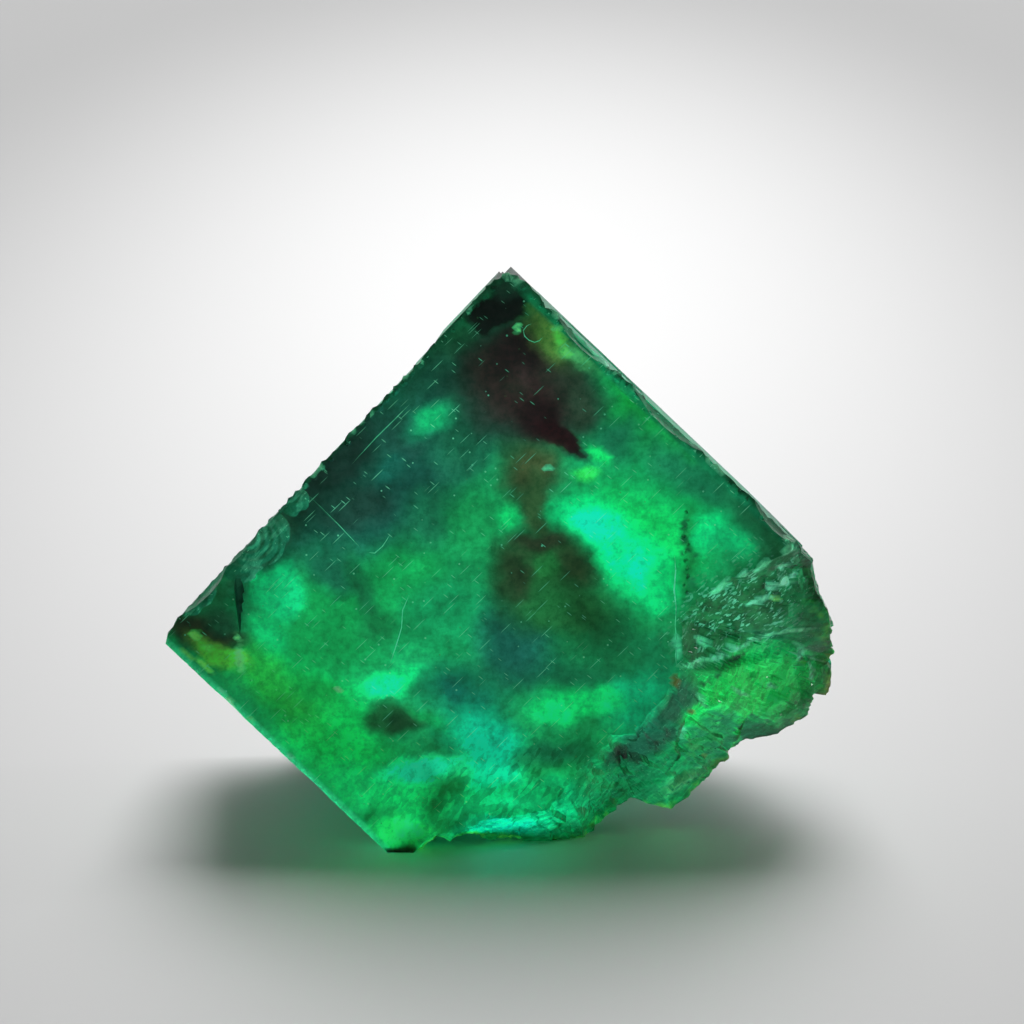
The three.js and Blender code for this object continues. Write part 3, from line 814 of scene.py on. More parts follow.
FRONT_TINT = (0.05, 0.34, 0.19)
BACK_TINT = (0.5, 1.0, 0.82)
SHADED_TINT = (0.05, 0.15, 0.11)  # painted shade on surfaces behind that face the floor
SHADED_BAND_TINT = (0.08, 0.11, 0.11)  # painted shade in a band on the break below the rim of the big face
TOP_TINT = (0.10, 0.09, 0.09)  # smoke right at the topmost corner
STAIN_TINT = (1.0, 0.6, 0.16)  # golden stain along the rim of the break
RISING_SHADE_TINT = (0.06, 0.28, 0.20)  # painted shade on the two upper faces, near the big face
RISING_BACK = (0.12, 0.42, 0.30)  # the same faces further back, with less painted shade
UNDER_SHADE_TINT = (0.3, 0.7, 0.55)  # painted shade on the lower left face, which faces down, away from the light
LIP_TINT = (0.06, 0.13, 0.10)  # the worn lips along the two upper edges
MILK = (0.6, 0.9, 0.7)  # scratches and bruises
SHELL_DARK, SHELL_PALE = (0.012, 0.05, 0.04), (0.11, 0.22, 0.19)  # the shell-like chips
ZONES = [  # centre (x, w), half widths, turn, softness, tint of the light let through
    # dark teal along the upper left edge
    (-5.6, 17.6, 7.4, 2.2, 46, 0.5, (0.06, 0.09, 0.105)),
    (-3.4, 16.6, 4.6, 1.3, 42, 0.6, (0.05, 0.09, 0.11)),
    (-7.4, 17.2, 2.6, 0.8, 46, 0.6, (0.08, 0.043, 0.06)),
    (-6.6, 15.4, 1.7, 0.9, 20, 0.6, (0.07, 0.052, 0.065)),
    (-4.3, 18.6, 1.0, 0.8, 0, 0.7, (0.09, 0.075, 0.10)),
    (-2.4, 22.6, 1.9, 0.7, 46, 0.6, (0.05, 0.13, 0.09)),
    (-3.6, 21.0, 1.6, 0.6, 46, 0.7, (0.09, 0.13, 0.14)),
    (-10.6, 13.6, 2.4, 0.6, 46, 0.5, (0.15, 0.13, 0.13)),
    (-12.8, 11.6, 1.3, 0.5, 46, 0.5, (0.08, 0.20, 0.14)),
    (-1.4, 18.3, 1.6, 1.6, 20, 0.7, (0.06, 0.13, 0.11)),
    # greens of the left half
    (-7.6, 10.2, 3.0, 2.6, 20, 0.6, (0.03, 0.34, 0.14)),
    (-10.2, 12.0, 0.75, 0.6, 46, 0.35, (0.03, 0.53, 0.33)),
    (-9.6, 11.2, 0.9, 0.8, -60, 0.35, (0.03, 0.55, 0.32)),
    (-10.3, 9.6, 0.7, 1.4, 8, 0.6, (0.03, 0.52, 0.27)),
    (-7.8, 12.7, 1.2, 0.9, -30, 0.6, (0.05, 0.14, 0.12)),
    (-6.2, 12.0, 0.5, 1.7, 20, 0.6, (0.04, 0.16, 0.10)),
    (-4.4, 12.9, 1.5, 1.3, 30, 0.7, (0.03, 0.31, 0.13)),
    (-5.2, 10.2, 1.0, 0.9, 0, 0.7, (0.04, 0.22, 0.11)),
    (-2.4, 10.6, 1.6, 1.5, 0, 0.7, (0.03, 0.26, 0.15)),
    (-0.9, 14.6, 1.9, 1.7, 20, 0.8, (0.04, 0.25, 0.12)),
    (-3.4, 15.2, 1.5, 0.9, 40, 0.7, (0.05, 0.14, 0.11)),
    (-3.0, 19.35, 1.4, 0.55, 30, 0.8, (0.05, 0.46, 0.28)),
    (-5.0, 17.2, 0.8, 0.5, 40, 0.6, (0.06, 0.14, 0.17)),
    # bright lower left
    (-7.4, 5.2, 3.6, 1.9, -44, 0.6, (0.02, 0.74, 0.24)),
    (-10.2, 7.4, 2.8, 1.0, -44, 0.6, (0.12, 0.46, 0.12)),
    (-8.2, 6.9, 1.4, 0.7, -30, 0.7, (0.04, 0.40, 0.13)),
    (-4.9, 7.6, 1.3, 0.5, 16, 0.5, (0.03, 1.15, 0.50)),
    (-4.6, 2.6, 2.8, 1.0, -10, 0.7, (0.04, 0.60, 0.30)),
    (-3.4, 3.5, 1.7, 0.6, 15, 0.6, (0.10, 1.25, 1.1)),
    (-4.6, 6.1, 1.35, 0.85, 6, 0.35, (0.05, 0.10, 0.05)),
    (-4.2, 6.0, 0.6, 0.5, 30, 0.5, (0.05, 0.06, 0.035)),
    (-3.1, 6.2, 0.9, 0.25, -40, 0.6, (0.03, 0.32, 0.14)),
    (-4.4, 0.7, 1.4, 0.55, 0, 0.6, (0.25, 1.1, 0.42)),
    # cyan bottom and middle
    (-1.6, 7.2, 1.7, 1.0, -20, 0.6, (0.03, 0.21, 0.20)),
    (-2.2, 7.4, 0.6, 0.5, -40, 0.5, (0.03, 0.18, 0.20)),
    (-0.7, 5.2, 1.9, 1.1, -30, 0.6, (0.02, 0.66, 0.62)),
    (-0.2, 3.6, 1.2, 1.4, 30, 0.5, (0.02, 0.86, 0.90)),
    (1.4, 1.9, 3.4, 1.0, 0, 0.6, (0.03, 0.56, 0.42)),
    (0.2, 1.0, 1.9, 0.4, 0, 0.6, (0.03, 0.75, 0.9)),
    (2.6, 2.6, 0.9, 0.6, 20, 0.6, (0.03, 0.50, 0.35)),
    (6.2, 7.2, 1.9, 1.5, 44, 0.5, (0.02, 0.44, 0.36)),
    (2.4, 8.2, 3.6, 0.8, 0, 0.7, (0.04, 0.16, 0.12)),
    (0.6, 9.6, 1.6, 1.9, 0, 0.6, (0.05, 0.115, 0.14)),
    (5.2, 9.5, 2.4, 1.5, 0, 0.6, (0.04, 0.18, 0.11)),
    (6.9, 9.0, 1.0, 1.6, 0, 0.6, (0.04, 0.225, 0.15)),
    (6.6, 7.0, 1.1, 1.4, 44, 0.6, (0.02, 0.50, 0.38)),
    (3.2, 6.5, 1.9, 0.8, 4, 0.4, (0.03, 0.78, 0.33)),
    (4.6, 6.9, 0.8, 0.6, 0, 0.6, (0.03, 0.65, 0.30)),
    (6.8, 10.8, 1.2, 0.8, 0, 0.7, (0.04, 0.245, 0.13)),
    # bright right of the middle
    (6.3, 14.2, 3.0, 2.2, -25, 0.6, (0.02, 0.52, 0.18)),
    (5.3, 13.5, 2.7, 1.25, -42, 0.6, (0.01, 1.12, 0.60)),
    (4.7, 14.1, 1.5, 0.6, -32, 0.7, (0.03, 1.25, 0.75)),
    (6.9, 11.9, 0.5, 0.9, 10, 0.5, (0.02, 0.75, 0.36)),
    (9.2, 14.4, 0.8, 0.8, 0, 0.7, (0.02, 0.80, 0.40)),
    (8.35, 13.6, 0.22, 1.7, 4, 0.6, (0.04, 0.30, 0.12)),
    (10.3, 13.9, 1.3, 0.5, -10, 0.7, (0.03, 0.55, 0.30)),
    (0.6, 15.3, 0.5, 0.9, -10, 0.5, (0.03, 0.56, 0.24)),
    # upper right
    (6.6, 19.6, 3.6, 1.1, -42, 0.6, (0.06, 0.54, 0.16)),
    (4.4, 21.4, 0.8, 1.2, 24, 0.5, (0.08, 0.62, 0.28)),
    (5.3, 18.7, 0.8, 1.0, 10, 0.7, (0.05, 0.155, 0.12)),
    (8.6, 17.2, 2.6, 0.9, -36, 0.6, (0.06, 0.20, 0.15)),
    (11.7, 14.9, 2.0, 0.8, -42, 0.5, (0.06, 0.15, 0.10)),
    (6.6, 20.4, 2.2, 0.22, -44, 0.5, (0.20, 0.15, 0.07)),
    # smoke under the apex and its tail
    (0.9, 21.3, 2.8, 2.3, -25, 0.75, (0.15, 0.036, 0.04)),
    (1.4, 20.9, 2.2, 2.3, -30, 0.65, (0.16, 0.014, 0.022)),
    (0.0, 22.0, 1.5, 1.1, 20, 0.7, (0.16, 0.018, 0.026)),
    (3.2, 20.3, 0.8, 1.5, 20, 0.9, (0.15, 0.046, 0.045)),
    (1.0, 22.7, 1.2, 1.0, 0, 0.5, (0.12, 0.012, 0.02)),
    (1.6, 19.5, 0.75, 1.0, 10, 0.4, (0.10, 0.008, 0.014)),
    (2.8, 18.5, 1.45, 0.5, -34, 0.3, (0.10, 0.005, 0.010)),
    (0.6, 20.9, 0.5, 0.4, 0, 0.7, (0.14, 0.02, 0.025)),
    (2.1, 21.6, 0.5, 0.35, 0, 0.7, (0.14, 0.02, 0.025)),
    (1.7, 16.9, 1.2, 1.3, 0, 0.7, (0.30, 0.065, 0.04)),
    (1.75, 15.2, 0.5, 1.6, 0, 0.5, (0.20, 0.09, 0.05)),
    (2.1, 12.4, 2.2, 1.9, -10, 0.35, (0.12, 0.062, 0.035)),
    (2.7, 10.8, 2.1, 1.3, 0, 0.6, (0.08, 0.13, 0.06)),
    (1.9, 12.6, 0.9, 0.8, 0, 0.6, (0.12, 0.20, 0.08)),
    (0.9, 12.3, 0.4, 0.8, 0, 0.7, (0.13, 0.045, 0.03)),
    (3.5, 12.5, 1.1, 0.35, -32, 0.6, (0.13, 0.05, 0.03)),
    (1.9, 13.8, 1.0, 0.35, 0, 0.5, (0.15, 0.04, 0.03)),
    (4.7, 17.8, 0.6, 0.4, -20, 0.5, (0.05, 0.75, 0.28)),
    (4.0, 16.9, 0.55, 0.25, 10, 0.6, (0.20, 0.75, 0.20)),
    # apex
    (2.2, 23.3, 1.7, 0.8, -46, 0.5, (0.6, 0.20, 0.07)),
    (2.6, 23.4, 1.5, 0.3, -46, 0.6, (0.9, 0.50, 0.12)),
    (3.7, 22.3, 0.9, 0.4, -40, 0.6, (0.7, 0.50, 0.30)),
    (-0.05, 24.45, 1.5, 0.64, 14, 0.12, (0.03, 0.010, 0.014)),
    (-0.8, 23.9, 0.6, 0.5, 0, 0.25, (0.03, 0.010, 0.014)),
    (0.4, 25.5, 1.0, 0.6, 0, 0.5, (0.10, 0.05, 0.06)),
    # left corner
    (-13.4, 10.0, 1.7, 0.8, -14, 0.4, (0.20, 0.04, 0.03)),
    (-12.5, 10.5, 0.9, 0.7, -20, 0.5, (0.08, 0.11, 0.09)),
    (-12.9, 9.1, 1.6, 0.42, -34, 0.5, (1.7, 0.72, 0.13)),
    # the break
    (10.6, 10.6, 2.8, 1.7, 20, 0.5, (0.05, 0.14, 0.07)),
    (11.4, 6.9, 3.6, 2.0, 25, 0.5, (0.05, 0.80, 0.21)),
    (9.6, 5.2, 1.4, 0.9, 40, 0.6, (0.12, 0.40, 0.19)),
    (13.9, 10.9, 0.8, 1.5, 12, 0.5, (0.05, 0.20, 0.11)),
    (12.4, 13.4, 0.7, 0.8, -40, 0.5, (0.08, 0.155, 0.10)),
    (6.6, 4.7, 1.7, 0.6, 30, 0.35, (0.11, 0.075, 0.075)),
    (7.6, 6.6, 0.9, 0.5, 50, 0.5, (0.07, 0.24, 0.14)),
    (2.4, 4.2, 1.5, 0.5, 5, 0.7, (0.04, 0.17, 0.13)),
    (8.6, 3.2, 1.5, 0.45, 34, 0.5, (0.8, 0.60, 0.42)),
    (8.1, 7.7, 0.25, 0.4, 0, 0.5, (1.5, 0.12, 0.05)),
]
FLECKS = [  # centre (x, w), half widths, turn, colour: small milky spots; the white ones on the veil of the break and at the topmost corner are partly painted highlights
    (8.28, 14.75, 0.15, 0.32, 5, (0.002, 0.03, 0.01)),
    (8.25, 14.1, 0.13, 0.24, 0, (0.002, 0.03, 0.01)),
    (8.42, 13.65, 0.13, 0.13, 0, (0.002, 0.03, 0.01)),
    (8.12, 13.35, 0.1, 0.13, 0, (0.003, 0.05, 0.02)),
    (8.85, 13.42, 0.2, 0.09, -20, (0.003, 0.04, 0.015)),
    (8.58, 12.15, 0.1, 0.26, 0, (0.005, 0.08, 0.03)),
    (10.62, 8.5, 0.66, 0.15, 35, (0.002, 0.01, 0.005)),
    (9.6, 7.8, 0.7, 0.07, 35, (0.01, 0.10, 0.03)),
    (7.95, 9.3, 0.10, 0.6, 4, (0.25, 0.6, 0.4)),
    (13.6, 8.6, 0.12, 0.25, 10, (0.5, 0.85, 0.65)),
    (14.3, 8.35, 0.3, 0.06, -20, (0.5, 0.85, 0.65)),
    (14.1, 8.0, 0.06, 0.3, 30, (0.5, 0.85, 0.65)),
    (-13.55, 9.75, 0.28, 0.16, -40, (1.2, 1.2, 0.15)),
    (-13.0, 9.2, 0.24, 0.12, -30, (1.2, 1.1, 0.12)),
    (-13.25, 8.4, 0.5, 0.1, -40, (0.9, 1.1, 0.12)),
    (-13.9, 8.9, 0.35, 0.08, -40, (0.5, 0.6, 0.1)),
    (-11.6, 8.75, 0.17, 0.55, 6, (1.2, 1.1, 0.35)),
    (-11.75, 9.6, 0.09, 0.16, 0, (1.2, 1.0, 0.35)),
    (-12.4, 7.25, 0.16, 0.1, -40, (0.9, 1.0, 0.8)),
    (-12.0, 6.75, 0.25, 0.1, -45, (0.8, 0.95, 0.5)),
    (-11.1, 5.9, 0.22, 0.08, -45, (0.75, 0.8, 0.3)),
    (-9.4, 4.3, 0.16, 0.1, -45, (0.85, 1.0, 0.8)),
    (0.83, 23.5, 0.08, 0.15, -15, (1.0, 1.0, 0.4)),
    (2.95, 22.45, 0.22, 0.22, 0, (0.8, 0.9, 0.15)),
    (2.6, 23.5, 0.2, 0.1, 40, (0.6, 0.8, 0.2)),
    (4.3, 22.45, 0.75, 0.13, -42, (0.7, 1.0, 0.75)),
    (4.9, 21.95, 0.3, 0.16, -30, (0.8, 1.0, 0.85)),
    (3.6, 23.1, 0.4, 0.1, -42, (0.6, 0.9, 0.6)),
    (2.2, 17.2, 0.14, 0.08, -20, (0.30, 0.48, 0.30)),
    (12.8, 12.1, 0.22, 0.22, 0, (1.0, 1.0, 0.85)),
    (12.1, 11.9, 0.14, 0.2, 30, (0.9, 1.0, 0.85)),
    (12.35, 11.35, 0.18, 0.1, -20, (0.95, 0.8, 0.15)),
    (13.0, 14.1, 0.2, 0.14, -45, (0.85, 0.95, 0.75)),
    (11.8, 12.9, 0.4, 0.13, 45, (0.5, 0.9, 0.6)),
    (0.42, 25.7, 0.2, 0.12, -35, (0.9, 1.0, 0.9)),
    (0.75, 25.42, 0.08, 0.12, 0, (0.9, 1.0, 0.9)),
    (11.6, 11.25, 0.5, 0.13, 20, (0.8, 1.0, 0.8)),
    (10.9, 12.5, 0.3, 0.14, 50, (0.7, 0.9, 0.7)),
    (8.9, 8.5, 0.8, 0.09, 10, (0.5, 0.9, 0.55)),
    (10.2, 8.85, 0.7, 0.14, 22, (0.7, 1.0, 0.75)),
    (11.6, 9.4, 0.9, 0.07, 20, (0.5, 0.8, 0.5)),
    (13.3, 9.75, 0.9, 0.06, 6, (0.4, 0.55, 0.35)),
    (9.9, 11.9, 0.5, 0.1, 40, (0.5, 0.9, 0.55)),
    (12.6, 12.75, 0.12, 0.2, 20, (0.8, 1.0, 0.8)),
    (13.25, 12.35, 0.1, 0.16, 0, (0.9, 1.0, 0.9)),
    (12.9, 13.6, 0.12, 0.3, -20, (0.6, 0.8, 0.6)),
    (13.6, 8.9, 0.1, 0.3, 30, (0.5, 0.85, 0.6)),
    (12.4, 7.3, 0.4, 0.08, 50, (0.3, 0.8, 0.4)),
    (10.9, 7.0, 0.5, 0.08, -30, (0.3, 0.85, 0.35)),
    (9.1, 6.9, 0.1, 0.5, 10, (0.3, 0.7, 0.35)),
    (8.25, 5.3, 0.2, 0.3, 0, (0.35, 0.75, 0.5)),
    (9.0, 9.4, 0.14, 0.3, 40, (0.4, 0.85, 0.5)),
    (14.2, 7.6, 0.13, 0.3, -20, (0.5, 0.8, 0.6)),
    (8.6, 6.2, 0.16, 0.1, 0, (0.7, 0.2, 0.03)),
    (9.3, 3.95, 0.16, 0.12, 0, (0.8, 0.4, 0.1)),
    (-7.3, 7.25, 0.09, 0.09, 0, (0.9, 0.4, 0.2)),
]
WORN = [  # centre (x, w), half widths, turn, how densely marked
    (0.0, 12.0, 16.0, 16.0, 0, 0.24),
    (-5.0, 18.0, 7.0, 2.4, 46, 0.9),
    (-10.9, 13.4, 2.6, 0.9, 46, 1.0),
    (-13.2, 9.2, 1.6, 0.8, -42, 0.9),
    (0.6, 25.4, 1.3, 0.8, 0, 1.0),
    (3.9, 22.7, 1.9, 0.6, -42, 1.0),
    (8.0, 18.6, 4.0, 0.5, -42, 0.7),
    (11.4, 11.6, 3.0, 1.5, 22, 1.0),
    (13.6, 13.4, 1.2, 1.2, 0, 0.9),
    (14.0, 8.2, 1.2, 1.8, 0, 0.9),
    (8.0, 9.5, 0.5, 2.4, 0, 0.9),
    (2.4, 16.6, 1.2, 1.0, 0, 0.6),
]
WARP = 0.5  # how far the borders of the zones wander


def crystal_coords(mesh):
    """The mesh's points in crystal axes (x, w, d), in millimetres."""
    co = np.empty(len(mesh.vertices) * 3)
    mesh.vertices.foreach_get("co", co)
    x, y, z = co.reshape(-1, 3).T / MM
    x, y = x + SHIFT_X, y + SHIFT_Y
    return np.stack([x, y * SIN_LEAN + z * COS_LEAN, y * COS_LEAN - z * SIN_LEAN], -1)


def face_distances(points):
    """How far points lie below the two upper faces."""
    dx, dw = points[:, 0] - APEX[0], points[:, 1] - APEX[1]
    return (dx * DOWN_LEFT[0] + dw * DOWN_LEFT[1], dx * DOWN_RIGHT[0] + dw * DOWN_RIGHT[1])


def wave(points, table):
    """Smoothly varying vectors, blended from a table of vectors at whole coordinates."""
    cell = np.floor(points).astype(int)
    t = points - cell
    t = t * t * (3 - 2 * t)
    total = np.zeros_like(points)
    for corner in np.ndindex(2, 2, 2):
        weight = np.prod(np.where(corner, t, 1 - t), axis=1)
        i, j, k = ((cell + corner) % len(table)).T
        total += weight[:, None] * table[i, j, k]
    return total


def drift(points, scale, octaves, rough, seed):
    """A wandering vector for each point, finer and weaker from octave to octave."""
    table = np.random.default_rng(seed).random((32, 32, 32, 3)) * 1.6 - 0.8
    total = np.zeros_like(points)
    for k in range(octaves):
        total += rough ** k * wave(points * scale * 2 ** k + 7.3 * k, table)
    return total


def blob(points, x, w, wide, tall, angle=0.0, soft=0.6, d=1.0, deep=6.5):
    """How far points lie in a soft blob: 1 inside, 0 outside. It has half widths and a
    turn on the big face in degrees."""
    c, t = math.cos(angle * RAD), math.sin(angle * RAD)
    dx, dw, dd = points[:, 0] - x, points[:, 1] - w, points[:, 2] - d
    u, v = (dx * c + dw * t) / wide, (dw * c - dx * t) / tall
    return 1 - smooth(1 - soft, 1 + soft, np.sqrt(u * u + v * v + (dd / deep) ** 2))


class Places:
    """Where the points of the crystal lie, as the paint needs it."""

    def __init__(self, mesh):
        self.points = crystal_coords(mesh)
        self.depth = self.points[:, 2]
        self.left, self.right = face_distances(self.points)
        self.under = EDGE - self.left
        dx, dw = self.points[:, 0] - HEART[0], self.points[:, 1] - HEART[1]
        self.bearing = np.degrees(np.arctan2(dw, dx))
        self.reach = np.hypot(dx, dw)
        normal = np.empty(len(self.points) * 3)
        mesh.vertices.foreach_get("normal", normal)
        self.facing_down = -normal[2::3]
        self.moved = self.points + drift(self.points, 0.45, 5, 0.6, 5) * WARP
        self.cloud = drift(self.points, 0.8, 4, 0.7, 105)


def blend(tint, amount, other):
    """Towards another tint by an amount for each point."""
    return mix(tint, other, np.asarray(amount)[:, None])


def stone_tint(at):
    """Logarithm of the tint of the stone, with painted shade on some faces and in a band on the
    break.
    """
    tint = blend(np.log(FRONT_TINT), smooth(2.0, 11.0, at.depth), np.log(BACK_TINT))
    for x, w, wide, tall, angle, soft, through in ZONES:
        tint = blend(tint, blob(at.moved, x, w, wide, tall, angle, soft), np.log(through))
    tint = tint + 0.38 * at.cloud[:, :1] * smooth(-6, 6, 6 - at.depth)[:, None]

    # the faces round the big one: painted shade on the upper faces, the lower left face and
    # surfaces that face the floor, and smoke at the topmost corner
    rising_shade = blend(np.log(RISING_SHADE_TINT), smooth(2.5, 8.0, at.depth), np.log(RISING_BACK))
    on_left = (1 - smooth(0.1, 0.35, at.right)) * smooth(0.4, 2.0, at.depth)
    upper = np.maximum(1 - smooth(0.1, 0.35, at.left), on_left)
    tint = blend(tint, upper, rising_shade + 0.5 * at.cloud[:, 1:2])
    under = 1 - smooth(0.1, 0.35, at.under)
    tint = blend(tint, under, np.log(UNDER_SHADE_TINT))
    top = blob(at.points, 0.4, 25.9, 1.3, 0.9, 0, 0.5, 9.5, 30.0)
    tint = blend(tint, 0.85 * top, np.log(TOP_TINT))
    # painted shade on surfaces behind that face the floor, and partly on the lower left face
    down = mix(smooth(0.5, 0.85, at.facing_down), 0.55, under) * smooth(0.8, 2.4, at.depth)
    tint = blend(tint, down, np.log(SHADED_TINT))

    # painted shade in a band below the rim of the big face, and the stain along the break's girth
    below = at.reach - look_rim(at.bearing)[0] + 0.35 * at.cloud[:, 0]
    shaded_band = smooth(0.01, 0.06, at.depth) * (1 - smooth(1.0, 1.7, below))
    shaded_band = shaded_band * smooth(-66, -60, at.bearing) * (1 - smooth(-40, -34, at.bearing))
    tint = blend(tint, 0.8 * shaded_band, np.log(SHADED_BAND_TINT))
    girth_r, girth_d = look_girth(at.bearing)
    rim = (1 - smooth(0.1, 0.6, np.abs(at.depth - girth_d))) * (at.reach > girth_r - 1.5)
    rim = rim * smooth(-0.35, 0.45, at.cloud[:, 1]) * (at.bearing > -112) * (at.bearing < -8)
    return blend(tint, 0.8 * rim, np.log(STAIN_TINT))


def paint(obj):
    """Tint, wear and milkiness at each point of the crystal, kept as attributes of its
    mesh. Light crosses the tint twice, so it is squared."""
    mesh = obj.data
    at = Places(mesh)
    lips = 1 - smooth(-0.06, -0.02, np.minimum(at.left, at.right))
    lips = lips * (1 - smooth(2.0, 2.6, at.depth))
    tint = blend(stone_tint(at), lips, np.log(LIP_TINT) + 0.5 * at.cloud[:, 2:])
    tint = np.minimum(1.5 * np.exp(2 * tint), 1.2)
    milky = smooth(0.30, 0.42, drift(at.points, 3.0, 1, 0.6, 405)[:, 0])
    milky = milky * lips * (1 - smooth(0.1, 0.5, at.depth))
    tint = blend(tint, milky, np.array(MILK))

    # the shell-like chips are streaked, the open crack and the pits painted black as shade in
    # their recesses, scratches pale
    shell = (at.right < 1.45) & (at.left > 13) & (at.left < 21)
    shell = shell & (at.depth > 0.015) & (at.depth < 0.6)
    grain = np.stack([at.left * 1.1, at.right * 4.0, 0 * at.left], -1)
    streak = smooth(0.2, 0.42, drift(grain, 1.0, 3, 0.7, 505)[:, 0]) * shell
    tint = blend(tint, 0.95 * shell, np.array(SHELL_DARK))
    tint = blend(tint, streak, np.array(SHELL_PALE))
    milky = np.maximum(milky, 0.7 * streak)
    inset = np.minimum(np.minimum(at.left, at.right), at.under)
    cut = smooth(0.03, 0.09, at.depth) * (1 - smooth(1.3, 1.6, at.depth)) * (inset > 0.6)
    cut = cut * (at.reach < look_rim(at.bearing)[0] - 0.3) * ~shell
    # painted shade: the open crack near the left corner and the pits go black
    recess_shade = (at.points[:, 0] < -11) | (np.abs(at.points[:, 0] - 8.4) < 0.45)
    tint = blend(tint, cut, np.where(recess_shade[:, None], 0.002, MILK))
    milky = np.maximum(milky, cut * ~recess_shade)

    jagged = at.points + drift(at.points, 2.2, 2, 0.6, 205) * 0.12
    for x, w, wide, tall, angle, colour in FLECKS:
        deep = 8.0 if x > 8 else 0.6  # on the break they lie deeper
        fac = blob(jagged, x, w, wide, tall, angle, 0.3, 0.0, deep)
        tint = blend(tint, fac, np.array(colour))
        milky = np.maximum(milky, fac)

    near = np.sort(np.abs([at.left, at.right, at.under, at.depth, DEPTH - at.depth]), axis=0)[1]
    worn = 0.9 * (1 - smooth(0.15, 0.7, near))
    for x, w, wide, tall, angle, level in WORN:
        worn = np.maximum(worn, level * blob(at.moved, x, w, wide, tall, angle, 0.7))
    foot = blob(at.moved, 0.6, 2.6, 6.5, 2.6, 4, 0.5)
    healed = blob(at.moved, 11.2, 11.0, 2.9, 1.9, 24, 0.5)
    for name, values in (("tint", tint), ("marks", np.stack([worn, foot, healed], -1)),
                         ("solid", np.stack([milky, 0 * milky, 0 * milky], -1))):
        made = mesh.attributes.new(name, "FLOAT_VECTOR", "POINT")
        made.data.foreach_set("vector", values.astype(np.float32).ravel())


BLOCK_TILT = (0.2, 0.3)  # turns of the cleavage blocks about x and w
FLUORITE_IOR = 1.434


def cells(sh, coords, size, angle, shift=0.0, tilt=(0.0, 0.0)):
    """Scattered cells, their size along, across and into the stone: the distance to the
    middle of the nearest one, and two levels of its own from 0 to 1."""
    turn = sh.node("Mapping", {
        "Vector": coords, "Location": (shift, shift, shift),
        "Rotation": (tilt[0], -angle * RAD, tilt[1]),
        "Scale": (size[0], size[2], size[1])}, vector_type="TEXTURE")
    voronoi = sh.node("TexVoronoi", {"Vector": turn.outputs[0], "Scale": 1.0})
    levels = sh.node("SeparateColor", {0: voronoi.outputs["Color"]}).outputs
    return voronoi.outputs["Distance"], levels[0], levels[1]


def dots(sh, coords, size, angle, reach, shift=0.0):
    """A mark in the middle of each cell, and the cell's level. Long thin cells give
    scratches, cubic ones specks; reach is the half width of a mark in cells."""
    distance, level, _ = cells(sh, coords, size, angle, shift)
    return sh.ramp(distance, reach, reach * 0.6), level


def some(sh, spots, op, level):
    """Only the marks whose level compares with the one given."""
    return sh.math("MULTIPLY", spots[0], sh.math(op, spots[1], level))


def plane_distances(sh, axes):
    """Depth behind the front face, and how far a point lies inside each cube face."""
    depth = sh.split(axes)[1]
    moved = sh.vec("SUBTRACT", axes, (APEX[0], 0.0, APEX[1]))
    left = sh.vec("DOT_PRODUCT", moved, (DOWN_LEFT[0], 0.0, DOWN_LEFT[1]))
    right = sh.vec("DOT_PRODUCT", moved, (DOWN_RIGHT[0], 0.0, DOWN_RIGHT[1]))
    return depth, left, right


